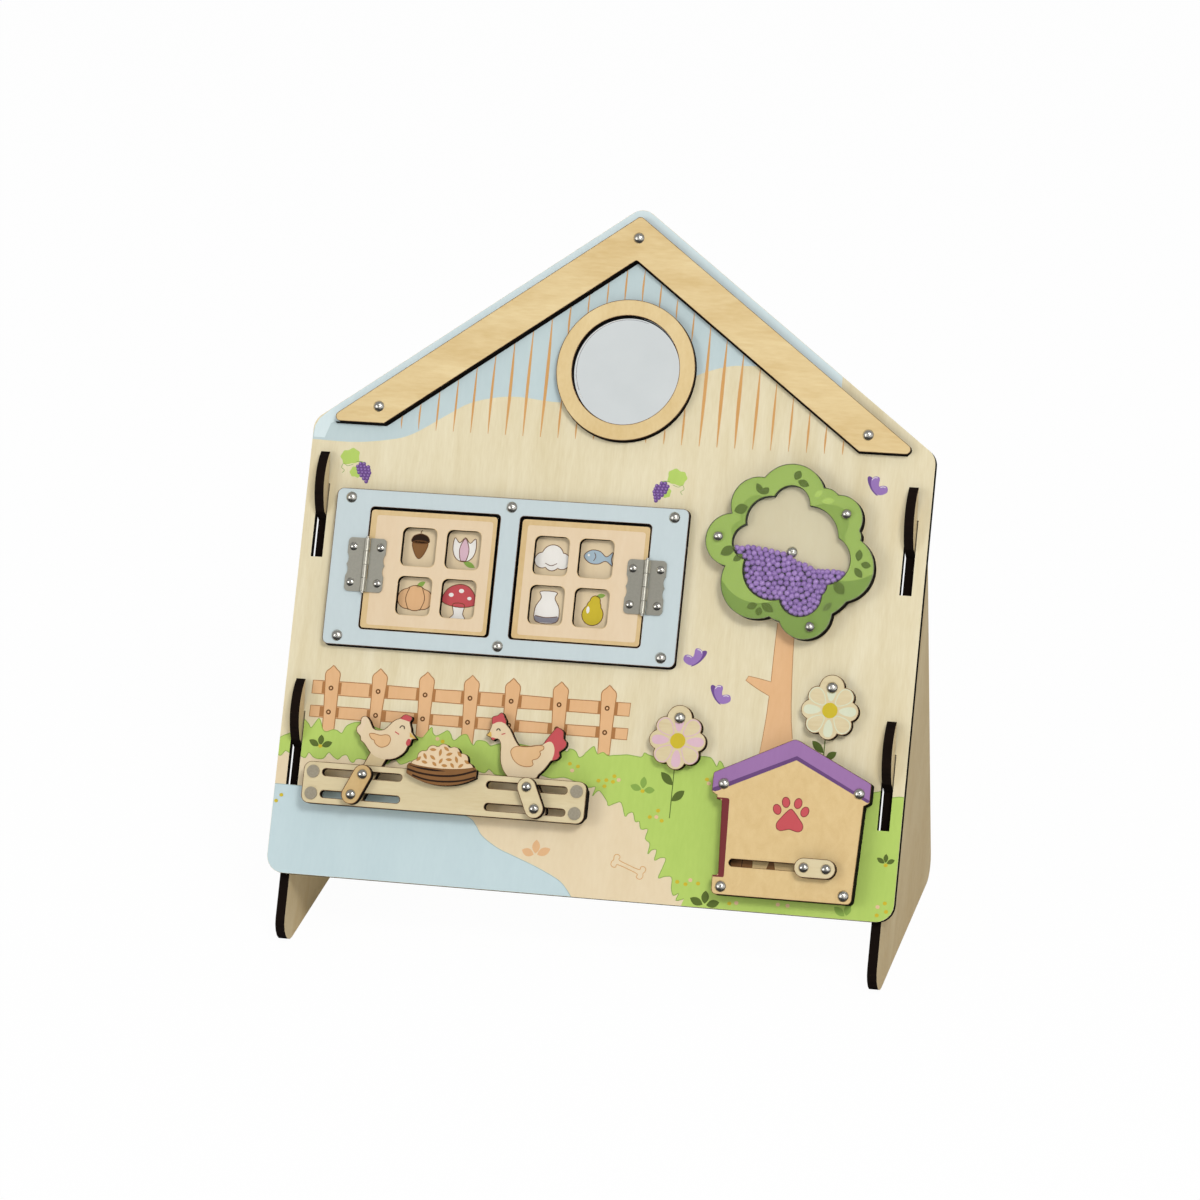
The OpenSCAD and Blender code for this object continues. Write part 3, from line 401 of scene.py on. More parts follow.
dress("hinge_pins hinge_frame_rivets left_shutter_rivets right_shutter_rivets crown_spacer flower_spacers "
      "left_hen_upper_pin left_hen_lower_pin right_hen_upper_pin right_hen_lower_pin "
      "dog_knob_screws barrel_nuts",
      metal("polished_steel", "D6D3CA", 0.13, 0.08, 0.5))
dress("trim_screws frame_screws kennel_screws crown_pivot_screw crown_screws flower_screws",
      metal("spun_steel", "DCD9D0", 0.24, 0.05, 0.5, spun=0.9))
dress("hinge_frame_leaves left_shutter_leaf right_shutter_leaf",
      metal("rolled_hinge_steel", "B9B6A9", 0.36, 0.1, 0.8))
dress("rail_rivets", metal("frosted_rivet_steel", "BDB4A0", 0.55, 0.2, 0.9))

# The mirror's silvering under acrylic: evenly bright, with a very faint haze
mirror_skin, tree, shader = material("silvered_acrylic_mirror")
haze = add(tree, "TexNoise", {"Vector": board_mm(tree)[1], "Scale": 0.05})
tint = add(tree, "Mix", {0: haze, 6: colour("D6DADA"), 7: colour("CDD2D2")}, data_type="RGBA")
feed(shader, {"Metallic": 1, "Base Color": tint.outputs[2], "Roughness": 0.04})
dress("mirror_disc", mirror_skin)

# Clear acrylic: seen through from the front with a faint veil; its rounded rim is made opaque and pale, a
# painted highlight for the shine on its polished edge
clear, tree, shader = material("clear_acrylic_gloss")
place, mm = board_mm(tree)
smears = add(tree, "TexNoise", {"Vector": mm, "Scale": 0.08, "Detail": 2.0})
spread = add(tree, "MapRange", {"Value": smears, "To Min": 0.03, "To Max": 0.1})
along = add(tree, "VectorMath", {0: place.outputs["Normal"], 1: N}, operation="DOT_PRODUCT")
front = add(tree, "Math", {0: along.outputs["Value"]}, operation="ABSOLUTE")
veil_and_rim_glint = add(tree, "MapRange", {"Value": front, "From Min": 0.5, "From Max": 0.98, "To Min": 0.42,
                              "To Max": 0.03})
feed(shader, {"Base Color": colour("C9D3B4"), "Roughness": spread, "Alpha": veil_and_rim_glint})

# Purple plastic beads: soft gloss, each a little lighter or darker
beads_skin, tree, shader = material("purple_plastic_beads")
shade = add(tree, "Attribute", attribute_name="bead_shade")
tint = add(tree, "Mix", {0: shade.outputs["Fac"], 6: colour("A781C6"), 7: colour("8C66AE")}, data_type="RGBA")
feed(shader, {"Base Color": tint.outputs[2], "Roughness": 0.35})


# ---------- the board's print ----------

# Half of the board's printed width, and the outer side, inner side and lower end of its upright slots
EDGE = 199.85
SLOT_OUT, SLOT_IN, SLOT_END = 192.8, 185.2, 55.5
corner = arc(11 - EDGE, 11.15, 11, 180, 270, 9)
corner_right = [(-u, v) for u, v in corner[::-1]]

SKY_EDGE = [
    (-196, 274.5), (-173, 274.2), (-151.4, 276.7), (-135, 281.3), (-113.5, 294.8), (-100, 302.9),
    (-83.8, 307.5), (-67.6, 308.9), (-40.5, 307), (0, 310), (30, 320), (44.6, 328.6), (54, 332.6),
    (66.2, 335.9), (81, 336.7), (110, 337.6), (124, 338), (137, 333.1),
]
ridge = [(-199.2, 283), (-196.5, 288.2), (-190, 294.1), (-8, 427.9), (-4, 430.6), (0, 431.2)]
ridge += [(4, 430.6), (8, 427.9)]
eaves = [(-EDGE, 274.5), (-EDGE, 278)]
printed("sky", [[eaves + ridge + open_curve(SKY_EDGE, 5)[::-1]]], 1, "sky")
# The sky outside the trim is printed in a lighter copy of the sky's ink: painted light on the rim
rim = [(137, 333.1), (137, 324), (6, 419.6), (0, 423), (-6, 419.6), (-189, 285), (-192, 276), (-199.2, 276)]
printed("sky_rim_painted_light", [[ridge + rim]], 2, "sky_rim_painted_light")

sand = [(-EDGE, 75), (-SLOT_OUT, 75), (-SLOT_OUT, SLOT_END), (-SLOT_IN, SLOT_END), (-SLOT_IN, 76), (-140, 76)]
sand += [(-70, 74), (10, 72), (30, 60), (50, 45), (60, 28), (72, 10), (75, 0.15)]
printed("sand", [[sand + corner[::-1]]], 1, "sand")

SHORE = [
    (-EDGE, 55.4), (-186, 55.2), (-140, 54.6), (-100, 51.5), (-84, 47.5), (-71.6, 43.4), (-66.9, 38.9),
    (-62.2, 32.8), (-51.4, 26.1), (-39.9, 21.8), (-24.3, 15.9), (-10.8, 9.5), (-5.4, 4.5), (-2, 0.15),
]
shore = open_curve(SHORE, 5)
printed("pond", [[shore + corner[::-1]]], 2, "pond")
printed("pond_edge", [stroke(shore, 0.35)], 3, "pond_edge")

GRASS_LEFT = [
    (-185.1, 97), (-182.2, 94.4), (-180.3, 92), (-178, 95.2), (-175.8, 98.2), (-174, 95.4), (-172.6, 91.6),
    (-170, 90.2), (-166, 91.8), (-163, 91.4), (-160, 89.9), (-158.6, 92.4), (-157, 94.9), (-153, 97),
    (-148, 97.8), (-143, 96.5), (-138, 95), (-131, 93.5), (-124, 92), (-115, 92.6), (-108, 90.8),
    (-105, 94), (-102, 98), (-101, 94.6), (-98.5, 92.8), (-94.6, 94.8), (-91.5, 96.6), (-89.2, 94.4),
    (-88, 91.6), (-86, 91), (-82.4, 94.3), (-79, 95), (-76.8, 92), (-75, 89.3), (-73.6, 88.9),
    (-72.3, 91.4), (-69.5, 92), (-66, 91.4), (-63, 89), (-59, 90.4), (-50, 92), (-40, 91), (-28, 90),
    (-20, 91.4), (-14, 89), (-12, 91), (-8.2, 89.8), (-6, 86.4), (-3.8, 86.8), (-1.5, 89.4), (1, 92),
    (3.2, 93.6), (4.5, 91), (6, 89), (9.3, 90.4), (12.5, 88.5), (16, 89), (20, 89.4), (25, 90), (30, 89.5),
    (34, 89.4), (35.5, 92), (38, 91), (43, 90), (50, 91), (60, 92.4), (70, 92.4), (75, 92.5), (78.2, 91.6),
    (80.4, 88.6), (82, 87), (83.1, 90.4), (85, 89.2), (86.8, 86.3), (90, 84),
]
GRASS_BANK = [
    (69.5, 4.6), (64.5, 3.1), (65.9, 7.7), (62.6, 6), (60.9, 10.2), (60.5, 16.9), (56, 17.2), (52.1, 15.9),
    (53.8, 21.6), (55.6, 28), (52, 28.4), (48.5, 26.6), (49.3, 32.9), (46, 32.6), (43.9, 30.1),
    (44.6, 36.5), (41.4, 39.3), (42.5, 45.3), (38, 45), (36.6, 49.6), (34, 49.3), (32.1, 54.7), (29, 54),
    (27.2, 52.1), (24, 60.3), (20, 59.6), (16, 57.8), (14.8, 60.6), (9.9, 66.3), (7.4, 65.6), (5.3, 63),
    (6.7, 68.8), (2.1, 68.1), (-6, 71), (-14, 73.2), (-22, 72), (-34, 74.5), (-44, 72), (-57, 71.5),
    (-60, 73), (-62.5, 74.6), (-65, 72.2), (-70, 73), (-84, 76), (-98, 73), (-112, 76), (-116, 74.6),
    (-120, 73.5), (-124, 77), (-126.4, 75), (-130, 72.8), (-147, 75), (-150, 72.5), (-152.4, 73),
    (-155, 76.5), (-158, 76), (-160.6, 73.5), (-164, 75.2), (-167, 77.5), (-170, 73.6), (-174, 73),
    (-177, 74), (-180, 76.5), (-182, 73), (-185.1, 74),
]
top_line = open_curve(GRASS_LEFT, 3)
bank_line = open_curve(GRASS_BANK, 3)
right_line = open_curve([(EDGE, 76.6), (197, 76.8), (SLOT_OUT, 76)], 3)
right_top = open_curve([(SLOT_IN, 79.4), (182.5, 78.6), (178, 78), (170, 78), (150, 78), (120, 79),
                        (96, 82)], 3)
grass = corner_right + right_line + [(SLOT_OUT, SLOT_END), (SLOT_IN, SLOT_END)] + right_top
grass += top_line[::-1] + bank_line[::-1] + [(68, 0.15)]
verge = open_curve([(-EDGE, 84.6), (-197, 86.2), (-SLOT_OUT, 88)], 3)
verge_foot = open_curve([(-SLOT_OUT, 75.4), (-195.5, 76.4), (-198, 73.4), (-EDGE, 73.6)], 3)
printed("grass", [[grass], [verge + verge_foot]], 3, "grass")
grass_lines = top_line, bank_line, verge, verge_foot, right_line, right_top[:8]
printed("grass_edge", [stroke(line, 0.45) for line in grass_lines], 4, "grass_edge")

# The gable's upright stripes stop at the ring round the mirror
MIRROR_V, RING_R = 329, 44.5
stripes = []
for i in range(26):
    u = -142.4 + 11.352 * i
    top = 398.0 - 0.735 * abs(u + 0.7)
    spans = [(284.5, top)]
    if abs(u) < RING_R - 1:
        half = math.sqrt(RING_R ** 2 - u ** 2) - 1
        spans = [(284.5, MIRROR_V - half), (MIRROR_V + half, top)]
    for low, high in spans:
        if high - low > 2:
            wide = min(2.1, 0.7 + (high - low) * 0.022) * random.uniform(0.85, 1.1)
            bow = random.uniform(-0.35, 0.35)
            spine = [(u + bow * math.sin(math.pi * k / 8), low + (high - low) * k / 8,
                      wide / 2 * math.sin(math.pi * (0.12 + 0.095 * k)) ** 1.5) for k in range(9)]
            stripes.append([[(x + w, v) for x, v, w in spine] + [(x - w, v) for x, v, w in spine[::-1]]])
printed("gable_stripes", stripes, 2, "stripe")

# Painted shadow: near-black ink on the board along the lower edges of what lies on it, under the ring and in
# the gaps round the shutters, where shade falls
trim_foot = [
    (-186, 286.6), (-152.9, 286.6), (-0.1, 398.9), (0.1, 398.9), (152.9, 286.6), (183, 286.6), (182, 285.8),
    (151.8, 285.8), (0, 397.2), (-151.9, 285.4), (-185, 285.5),
]
printed("trim_painted_shadow", [[trim_foot]], 5, "painted_shadow")
printed("ring_painted_shadow", [[arc(-0.1, 328.2, RING_R, steps=64), arc(0, MIRROR_V, 42, steps=64)]], 5, "painted_shadow")
foot = arc(-174, 148.4, 4, 200, 270, 6) + arc(46.1, 148.4, 4, 270, 350, 6)
printed("frame_painted_shadow", [[foot + [(49, 150), (-177, 150)]]], 5, "painted_shadow")
gaps = [[box(-155, 155.9, -70.4, 233.3), box(-154.4, 157.5, -73, 231.8)],
        [box(-57.6, 155.9, 27.1, 233.3), box(-56.6, 157.5, 25.1, 231.8)]]
printed("opening_painted_shadow", gaps, 5, "painted_shadow")
# On the mirror along its top: a painted shadow and painted reflection of the ring's dark inner wall
shadow = arc(0, MIRROR_V, 34.1, 10, 170, 40) + arc(0.2, 328.2, 33.9, 168, 12, 40)
printed("mirror_painted_shadow", [[shadow]], 1, "painted_shadow", "mirror")
# A painted reflection of a bevelled edge on the mirror's upper left: a white line and a grey one
printed("mirror_bevel_reflection", [stroke(arc(0, MIRROR_V, 32.7, 100, 215, 30), 0.35)], 1, "white", "mirror")
printed("mirror_bevel_reflection_edge", [stroke(arc(0, MIRROR_V, 32.3, 70, 205, 30), 0.25)], 1, "grey", "mirror")

for name, width in (("roof_trim", 0.2), ("mirror_ring", 0.25), ("window_frame", 0.22), ("kennel_front", 0.22),
                    ("rail_plate", 0.25), ("feed_bowl", 0.25)):
    scorched(name, width)
scorched("crown_ring", 0.28, "tree_crown", "dark_brown")
for body, end in (("pink_flower", ""), ("white_flower", ""), ("left_hen", "_figure"), ("left_hen", "_link"),
                  ("right_hen", "_figure"), ("right_hen", "_link")):
    scorched(body + end, 0.3, body)
scorched("dog_knob", 0.3, "dog_slider")

# Picket fence: two rails behind seven posts, each post with a shade on both sides; every post has its
# place and its lean
POSTS = [(-169.8, 0.6), (-138.9, -0.5), (-108.2, 0.3), (-79, 0.5), (-52.4, -0.4), (-21.5, 0.6), (9.3, 0.2)]
rails, shades, pales, rings = [], [], [], []
for low, high in ((99.2, 106.2), (113.8, 122)):
    rails.append(
        open_curve([(-182.3, low), (-150, low - 0.3), (-115, low + 0.3), (-60, low - 0.2), (-20, low + 0.3),
                    (23.4, low)])
        + open_curve([(23.6, high), (-20, high - 0.3), (-60, high + 0.2), (-110, high - 0.3),
                      (-150, high + 0.2), (-182.2, high)]))
    shades += [box(u - 6.2, low + 0.4, u + 6.4, high - 0.4) for u, lean in POSTS]
for u, lean in POSTS:
    pales.append(
        open_curve([(u, 132.2), (u + 2.4, 129.8), (u + 4.7, 127.2), (u + 4.6, 121), (u + 4 + lean, 105),
                    (u + 3.8 + lean, 89)], 3)
        + open_curve([(u - 3.6 + lean, 89), (u - 3.9 + lean / 2, 105), (u - 4.5, 121), (u - 4.7, 127.2),
                      (u - 2.4, 129.8)], 3))
    rings += [[arc(u - 0.3, v, 1.6, steps=16), arc(u - 0.3, v, 0.7, steps=12)] for v in (102.7, 117.8)]
printed("fence_rails", filled(rails), 1, "orange")
printed("fence_rail_edges", outlined(rails, 0.5), 2, "orange_dark")
printed("fence_shade", filled(shades), 2.2, "orange_dark")
printed("fence_posts", filled(pales), 2.5, "orange")
printed("fence_post_edges", outlined(pales, 0.55), 2.8, "orange_dark")
printed("fence_screws", rings, 3, "outline")

# Trunk, with a branch to the left
trunk = open_curve([(111.2, 178), (110.7, 160), (110.6, 142.4)], 3)
trunk += open_curve([(110.6, 141.4), (103, 142.9), (96.2, 144)], 3)
trunk += open_curve([(94.7, 141.2), (102, 136.8), (110.3, 132.6)], 3)
trunk += [(109.9, 121.6), (108.9, 108), (107.6, 96), (129, 96), (127.3, 107.4), (125.6, 118), (124.4, 130)]
trunk += [(123.1, 150), (122.4, 165), (122, 178)]
printed("trunk", [[trunk]], 1, "orange")
edges = [stroke(line, 0.35) for line in (trunk[8:-6], trunk[:9], trunk[-6:])]
printed("trunk_edge", edges, 2, "orange_dark")


# ---------- small motifs on the board ----------

def sprig(u, v, size, tips):
    """Leaves that fan out from one point; each tip is given in leaf lengths."""
    return [leaf(u + 0.12 * x * size, v + 0.12 * y * size, u + x * size, v + y * size, 0.52 * size)
            for x, y in tips]


dark_leaves = sprig(-173, 80.6, 7.6, [(-1, 0.5), (0.02, 1), (1, 0.42)])
dark_leaves += sprig(82.6, 1.4, 9.4, [(-1, 0.42), (0, 0.98), (0.98, 0.28)])
dark_leaves += sprig(192.4, 35.6, 5.6, [(-1, 0.6), (-0.02, 1.1), (0.98, 0.5)])
dark_leaves += [leaf(139.9, 107.2, 147.5, 100.2, 4.6), leaf(155.6, 101.2, 149.2, 96.6, 4.4)]
dark_leaves += [leaf(63.1, 70.6, 55.5, 63.6, 5), leaf(47.2, 81, 55.2, 73.4, 5)]
soft_leaves = sprig(36.7, 69, 8, [(-1, 0.3), (0.02, 1.05), (0.95, 0.06)])
soft_leaves += sprig(171, 1.2, 8.6, [(-0.9, 0.7), (0.15, 1.05)])
printed("dark_leaves", filled(dark_leaves), 4, "leaf_dark")
printed("soft_leaves", filled(soft_leaves), 4, "leaf_soft")
printed("stems", filled([box(55, 53, 55.6, 86), box(147.5, 98, 148.1, 112)]), 4, "leaf_green")
path_sprig = sprig(-27.2, 23.6, 9.6, [(-0.92, 0.3), (0, 1.02), (0.96, 0.5)])
printed("path_sprig", filled(path_sprig), 2, "orange")

YELLOW = [
    (8.2, 72.7), (13.1, 73.4), (12.3, 69.6), (18, 76.2), (17.4, 72.7), (42.9, 52.8), (47.7, 57.1),
    (50.6, 51.1), (64.2, 14.5), (69.5, 13.5), (77.3, 14.5), (76.5, 78.6), (190, 4.1), (194.3, 11.7),
    (195.5, 6.7), (98.1, 3.9), (-11.1, 81.8), (-5.8, 80.5), (-94, 89.6), (-195, 48.6), (-198, 44.7),
    (-173, 81), (36.7, 68.4), (192.6, 34.8),
]
PINK = [
    (20.9, 74.1), (47, 53.1), (72.3, 16.2), (78, 76.2), (190, 9.2), (102.4, 4.6), (128.3, 5.7),
    (134.4, 5.5), (-9.2, 77.7), (-97.5, 91),
]
printed("yellow_dots", filled(oval(u, v, 1.3, 1.15, steps=12) for u, v in YELLOW), 4.6, "yellow")
printed("pink_dots", filled(oval(u, v, 1.35, 1.2, steps=12) for u, v in PINK), 4.6, "pink_dot")

knob = [
    (7.0, 1.5), (7.3, 3.4), (8.9, 4.3), (10.6, 3.6), (10.9, 1.9), (10.3, 0.3), (11, -1.4), (10.5, -3.3),
    (8.8, -4), (7.2, -3.2), (6.9, -1.5),
]
bone = curve(knob + [(0, -1.2)] + [(-x, y) for x, y in knob[::-1]] + [(0, 1.2)])
printed("bone", outlined([moved(bone, 32.4, 21.1, 1, -20)], 0.42), 2, "stripe")

WING = [
    (2.4, 9.7), (3.8, 11.4), (5.3, 12), (7.2, 11.6), (7.8, 10.1), (7.5, 8.2), (7.7, 6), (9.1, 6.3),
    (11.1, 6.5), (12.6, 5.9), (13.3, 4.4), (13, 2.6), (11.4, 1.3), (9.5, 0.7), (7.6, 0.6), (5.7, 1.7),
    (3.8, 4), (2.6, 6.7),
]
BACK_WING = [
    (0.1, 11.2), (0.9, 11.9), (2.2, 11.6), (3.2, 10.6), (3.6, 8), (6.6, 1.4), (7.3, 0), (5.2, 1.2),
    (2.8, 3.8), (1, 7), (0.1, 9.6),
]
SHINE = [[(3.1, 9.6), (3.5, 10.5), (4.8, 11.2), (6.4, 11.1)], [(8.6, 5.3), (10.2, 5.8), (11.8, 5.4)]]
# Each butterfly's place, turn and mirroring
FLIES = [(158.6, 260.4, 1, 0, 1), (73.1, 125.1, 1, 0, 1), (66.4, 145.9, 1, -12, -1)]
printed("butterfly_back_wings", filled(moved(curve(BACK_WING), *at) for at in FLIES), 1, "violet")
printed("butterfly_wings", filled(moved(curve(WING), *at) for at in FLIES), 2, "lilac")
shines = [stroke(moved(open_curve(line), *at), 0.4) for at in FLIES for line in SHINE]
printed("butterfly_shine", shines, 3, "white")

VINE_LEAF = [
    (0, 0.6), (-2.6, 0.2), (-5.6, 1), (-6.2, 3.6), (-7.4, 6), (-6, 8), (-4.4, 9.8), (-1.4, 9.6),
    (1.6, 10.8), (4, 9.2), (6, 7.4), (5.4, 4.6), (5.2, 1.6), (2.4, 0.4),
]
TENDRILS = [([(-6, 3.4), (-9.6, 2.2), (-12.2, 3.6), (-13.4, 1), (-11.4, -0.6), (-12.6, -2.4)], 0.3),
            ([(-4, 5.2), (-1, 5.4), (1.6, 4.4)], 0.5)]
grapes, shines, vine, tendrils = [], [], [], []
for u, v, mirror in ((-165.4, 256.6, 1), (30.4, 256, -1)):
    for row, count in enumerate((2, 4, 4, 4, 3, 2, 1)):
        for k in range(count):
            x = (k - (count - 1) / 2) * 2.3 + row * 0.62
            middle = u + mirror * x, v + 4 - row * 1.85
            grapes.append(arc(*middle, 1.28, steps=12))
            shines.append(arc(middle[0] - 0.3, middle[1] + 0.35, 0.62, steps=8))
    vine += [moved(curve(VINE_LEAF, 3), u - mirror * 7, v + 3.4, 0.95, 10 * mirror, mirror),
             moved(curve(VINE_LEAF, 3), u - mirror * 2.8, v + 1.6, 0.62, 160, mirror)]
    tendrils += [stroke(moved(open_curve(line), u, v, mirror=mirror), width) for line, width in TENDRILS]
printed("vine_leaves", filled(vine), 1, "grass")
printed("tendrils", tendrils, 2, "grass_edge")
printed("grapes", filled(grapes), 2, "violet")
printed("grape_shine", filled(shines), 3, "lilac")

# Plain motifs behind the eight panes, outlined in brown, on a pale ground in each opening
printed("window_ground", filled(box(u, 157.2, u + 82.6, 231.8, 3) for u in (-154.2, -56.8)), 1, "cream")
cup = curve([(-127.6, 213.4), (-126.6, 217), (-122, 218.6), (-117.4, 217), (-116.4, 213.4), (-122, 212.4)])
acorn = curve([(-126.6, 213.6), (-125.8, 207.6), (-122, 202.8), (-118.2, 207.6), (-117.4, 213.6)])
tulip = curve([(-93, 218), (-89.6, 214.6), (-86.2, 217.6), (-85.6, 210), (-88.2, 204.6), (-93, 202.8),
               (-97.8, 204.6), (-100.4, 210), (-99.8, 217.6), (-96.4, 214.6)])
tulip_heart = curve([(-93, 217.4), (-90, 211), (-91, 204), (-93, 203.2), (-95, 204), (-96, 211)])
pumpkin = blob(-121.6, 177.4, [(-5, 0, 6.6), (5, 0, 6.6), (0, 0.6, 8.2)])
stool_cap = curve([(-103.6, 176.8), (-101.6, 184.6), (-94.6, 188.4), (-87.4, 187.2), (-82.4, 181),
                   (-81.8, 176.4), (-92, 174)])
stool = curve([(-96.6, 176), (-95.8, 169.6), (-98, 166.6), (-88.4, 166.6), (-89.8, 170), (-89.4, 176)])
cloud = blob(-35.6, 208.6, [(0, 1.6, 7.2), (-6.4, -1.4, 5.2), (6.4, -1.4, 5.4), (0, -3, 5)])
fish = curve([(-15.6, 211.6), (-11.4, 215.4), (-5.6, 215), (-1.2, 211.8), (2.8, 214.8), (2.2, 210.4),
              (3.2, 206.2), (-1.4, 209), (-6, 207), (-11.6, 207.4)])
jug = curve([(-41, 187.6), (-30.6, 187.6), (-31.4, 183.6), (-28, 177), (-29.4, 168.6), (-42.2, 168.6),
             (-43.6, 177), (-40.2, 183.6)])
jug_foot = curve([(-43, 172.4), (-36, 171.4), (-28.6, 172.4), (-29.4, 168.6), (-42.2, 168.6)])
pear = blob(-6.4, 175.2, [(0, 0, 7), (0.4, 5, 4.8), (0.9, 8.6, 3.5)])
white = [tulip, stool, cloud, jug]
tinted = {"dark_brown": cup, "brown": acorn, "pink": tulip_heart, "orange": pumpkin, "red": stool_cap,
          "grey": jug_foot, "steel_blue": fish, "yellow": pear}
for tint, shape in tinted.items():
    printed("window_motif_" + tint, [[shape]], 3, tint)
printed("window_motif_white", filled(white), 2, "white")
leaves = [leaf(-93, 203, -85, 199.6, 3.4), leaf(-121.6, 185, -116, 188.6, 3),
          leaf(-5.2, 186.6, 0.6, 187.8, 2.8)]
printed("window_motif_leaves", filled(leaves), 3, "leaf_soft")
CREASES = [
    [(-122, 218.4), (-122.2, 219.6), (-121.4, 221)], [(-125.6, 184.8), (-127.8, 177.6), (-125.4, 170.4)],
    [(-117.6, 184.8), (-115.4, 177.6), (-117.8, 170.4)], [(-40, 205.4), (-36, 204), (-32.4, 205.6)],
    [(-9, 214), (-8, 211.4), (-9.2, 208.8)], [(-43, 172.4), (-36, 171.4), (-28.6, 172.4)],
]
# The jug's foot has no outline of its own
lines = outlined([cup, acorn, tulip_heart, pumpkin, stool_cap, fish, pear, *white], 0.45)
lines += [stroke(open_curve(line), 0.45) for line in CREASES]
printed("window_motif_lines", lines, 4, "outline")
lights = [oval(-98.4, 181.6, 1.6, 1.3), oval(-92, 184.4, 1.7, 1.3), oval(-86.4, 180, 1.4, 1.1),
          oval(-9.6, 178, 1, 2.2), oval(-12.6, 212.2, 0.8, 0.8, steps=8)]
printed("window_motif_lights", filled(lights), 4, "white")


# ---------- shutters, kennel, crown, flowers, hens, bowl, dog ----------

for side, edges, panes in (("left_shutter", (-150.4, 158.9, -74.6, 228.3), (-121.35, -92.55)),
                           ("right_shutter", (-52.2, 159.1, 23.6, 228), (-35.45, -6.65))):
    holes = [box(u - 11.4, v - 12.45, u + 11.4, v + 12.45, 4.2) for u in panes for v in (178.65, 209.55)]
    printed(side, [[box(*edges, 2)] + holes], 1, "peach", side)

ROOF = [(82.6, 72.9), (82.6, 82.4), (131.7, 106.4), (180.8, 82.4), (180.8, 72.3), (133.4, 96.2)]
printed("kennel_roof", [[rounded(ROOF, [0, 2, 5, 2, 0, 1.2])]], 1, "roof", "kennel")
BAND = [(82.7, 71.4), (82.6, 72.9), (133.4, 96.2), (180.8, 72.3), (180.6, 71.2), (179.4, 70.9), (133.3, 93.6),
        (86.2, 71.5), (84.4, 70.9)]
printed("kennel_roof_band", [[rounded(BAND, [0, 0, 1.2, 0, 0.6, 0, 1.2, 0, 0.6])]], 1, "roof_dark", "kennel")
PAD = [
    (132.8, 63.6), (135.4, 61.6), (138.4, 58), (141, 54.4), (140.8, 51.4), (138.4, 50), (135.4, 50.6),
    (132.8, 51.2), (130.2, 50.6), (127.2, 50), (124.9, 51.4), (124.7, 54.4), (127.2, 58), (130.2, 61.6),
]
TOES = [(124.2, 62.8, 24), (129.3, 67.5, 10), (136.9, 67.3, -10), (141.5, 62.5, -24)]
paw = [curve(PAD)] + [oval(u, v, 2.4, 3.2, turn) for u, v, turn in TOES]
printed("paw", filled(paw), 1, "paw_red", "kennel")
printed("paw_edge", outlined(paw, 0.4), 2, "maroon", "kennel")
DOORWAY = [(86.3, 67.4), (93.9, 67.4), (95.1, 18.9), (88.1, 18.9), (88.2, 19.9), (91.5, 19.9), (89.3, 66.5),
           (86.2, 66.5)]
printed("doorway", [[rounded(DOORWAY, [0, 1.6, 1.2, 0, 0, 0.4, 0.4, 0])]], 1, "maroon", "kennel")

# Tree crown: two greens and leaf shapes on the ring, seen through the clear cover
CROWN = 116.8, 221.6
LOBES = [
    (-2.7, 32.7, 21.4), (18.5, 30, 10.4), (28.3, 21.7, 14.9), (37.4, 11.2, 6), (31.9, -8.5, 21.2),
    (15, -14, 27.2), (12.6, -37, 16.9), (-1.5, -29.6, 14.1), (-18.9, -20.3, 23), (-37.5, 4.7, 16.6),
    (-22.8, 27.5, 17.4),
]
WINDOW = [
    (-2.4, 28.9, 11.7), (8.8, 8.4, 20.3), (22.4, -4, 15.4), (17.6, -20.2, 7.2), (8.8, -26.6, 13.4),
    (-9.6, -11.8, 19.2), (-25.8, 4.2, 11.3), (-14.5, 18, 15.3),
]


def crown_band(start, end, inner, outer, steps=48):
    """A band of the ring; inner and outer are shares of the way from the window to the rim, by angle."""
    near, far = [], []
    for i in range(steps + 1):
        angle = start + (end - start) * i / steps
        a, b = reach(WINDOW, angle) + 0.3, reach(LOBES, angle) - 0.3
        for line, share in ((near, inner(i / steps)), (far, outer(i / steps))):
            line.append(polar(a + (b - a) * min(max(share, 0), 1), angle, *CROWN))
    return [far + near[::-1]]


dark = [crown_band(207, 262, lambda t: 0.97 - 1.02 * t ** 0.75, lambda t: 1),
        crown_band(262, 333, lambda t: 0, lambda t: 1),
        crown_band(333, 348, lambda t: t * 0.96, lambda t: 1, 16)]
printed("crown_dark", dark, 1, "crown_dark", "crown")
mid = [crown_band(12, 66, lambda t: 0, lambda t: 0.5 * math.sin(math.pi * t) ** 0.7 + 0.02),
       crown_band(122, 168, lambda t: 0, lambda t: 0.36 * math.sin(math.pi * t) ** 0.6 + 0.02)]
printed("crown_mid", mid, 1, "crown_mid", "crown")
LEAVES = [
    (115.6, 265.8, 118.2, 271.8, 5), (117.2, 265.4, 124.6, 262.6, 4.6),
    (91.6, 262.4, 95.7, 255.6, 4), (95.5, 255.8, 99.6, 260, 4.4), (79, 244.2, 87.6, 247.4, 6.4),
    (73, 216.8, 81.8, 222, 6.2), (81.4, 213.2, 87.2, 217.8, 4.2),
    (92.8, 184.9, 99.4, 187.6, 4.6), (101.8, 188.4, 109.8, 183.4, 5.4),
    (101.2, 186, 100.2, 180.4, 4.4), (160, 225.4, 159.6, 218, 4.6),
    (161.4, 216.6, 167.8, 215.4, 4.4), (157.8, 213.9, 163, 208, 4.4),
    (145.8, 204.6, 152.8, 197, 6.6),
]
PALE_LEAVES = [(133.4, 253.6, 141.4, 254.6, 4), (128.6, 256.2, 133.2, 260.2, 3.6)]
printed("crown_leaves", filled(leaf(*row) for row in LEAVES), 2, "crown_leaf", "crown")
printed("crown_soft_leaf", [[leaf(140.4, 186, 145.8, 191.6, 4)]], 2, "leaf_green", "crown")
printed("crown_leaf_lights", filled(leaf(*row) for row in PALE_LEAVES), 2, "leaf_light", "crown")

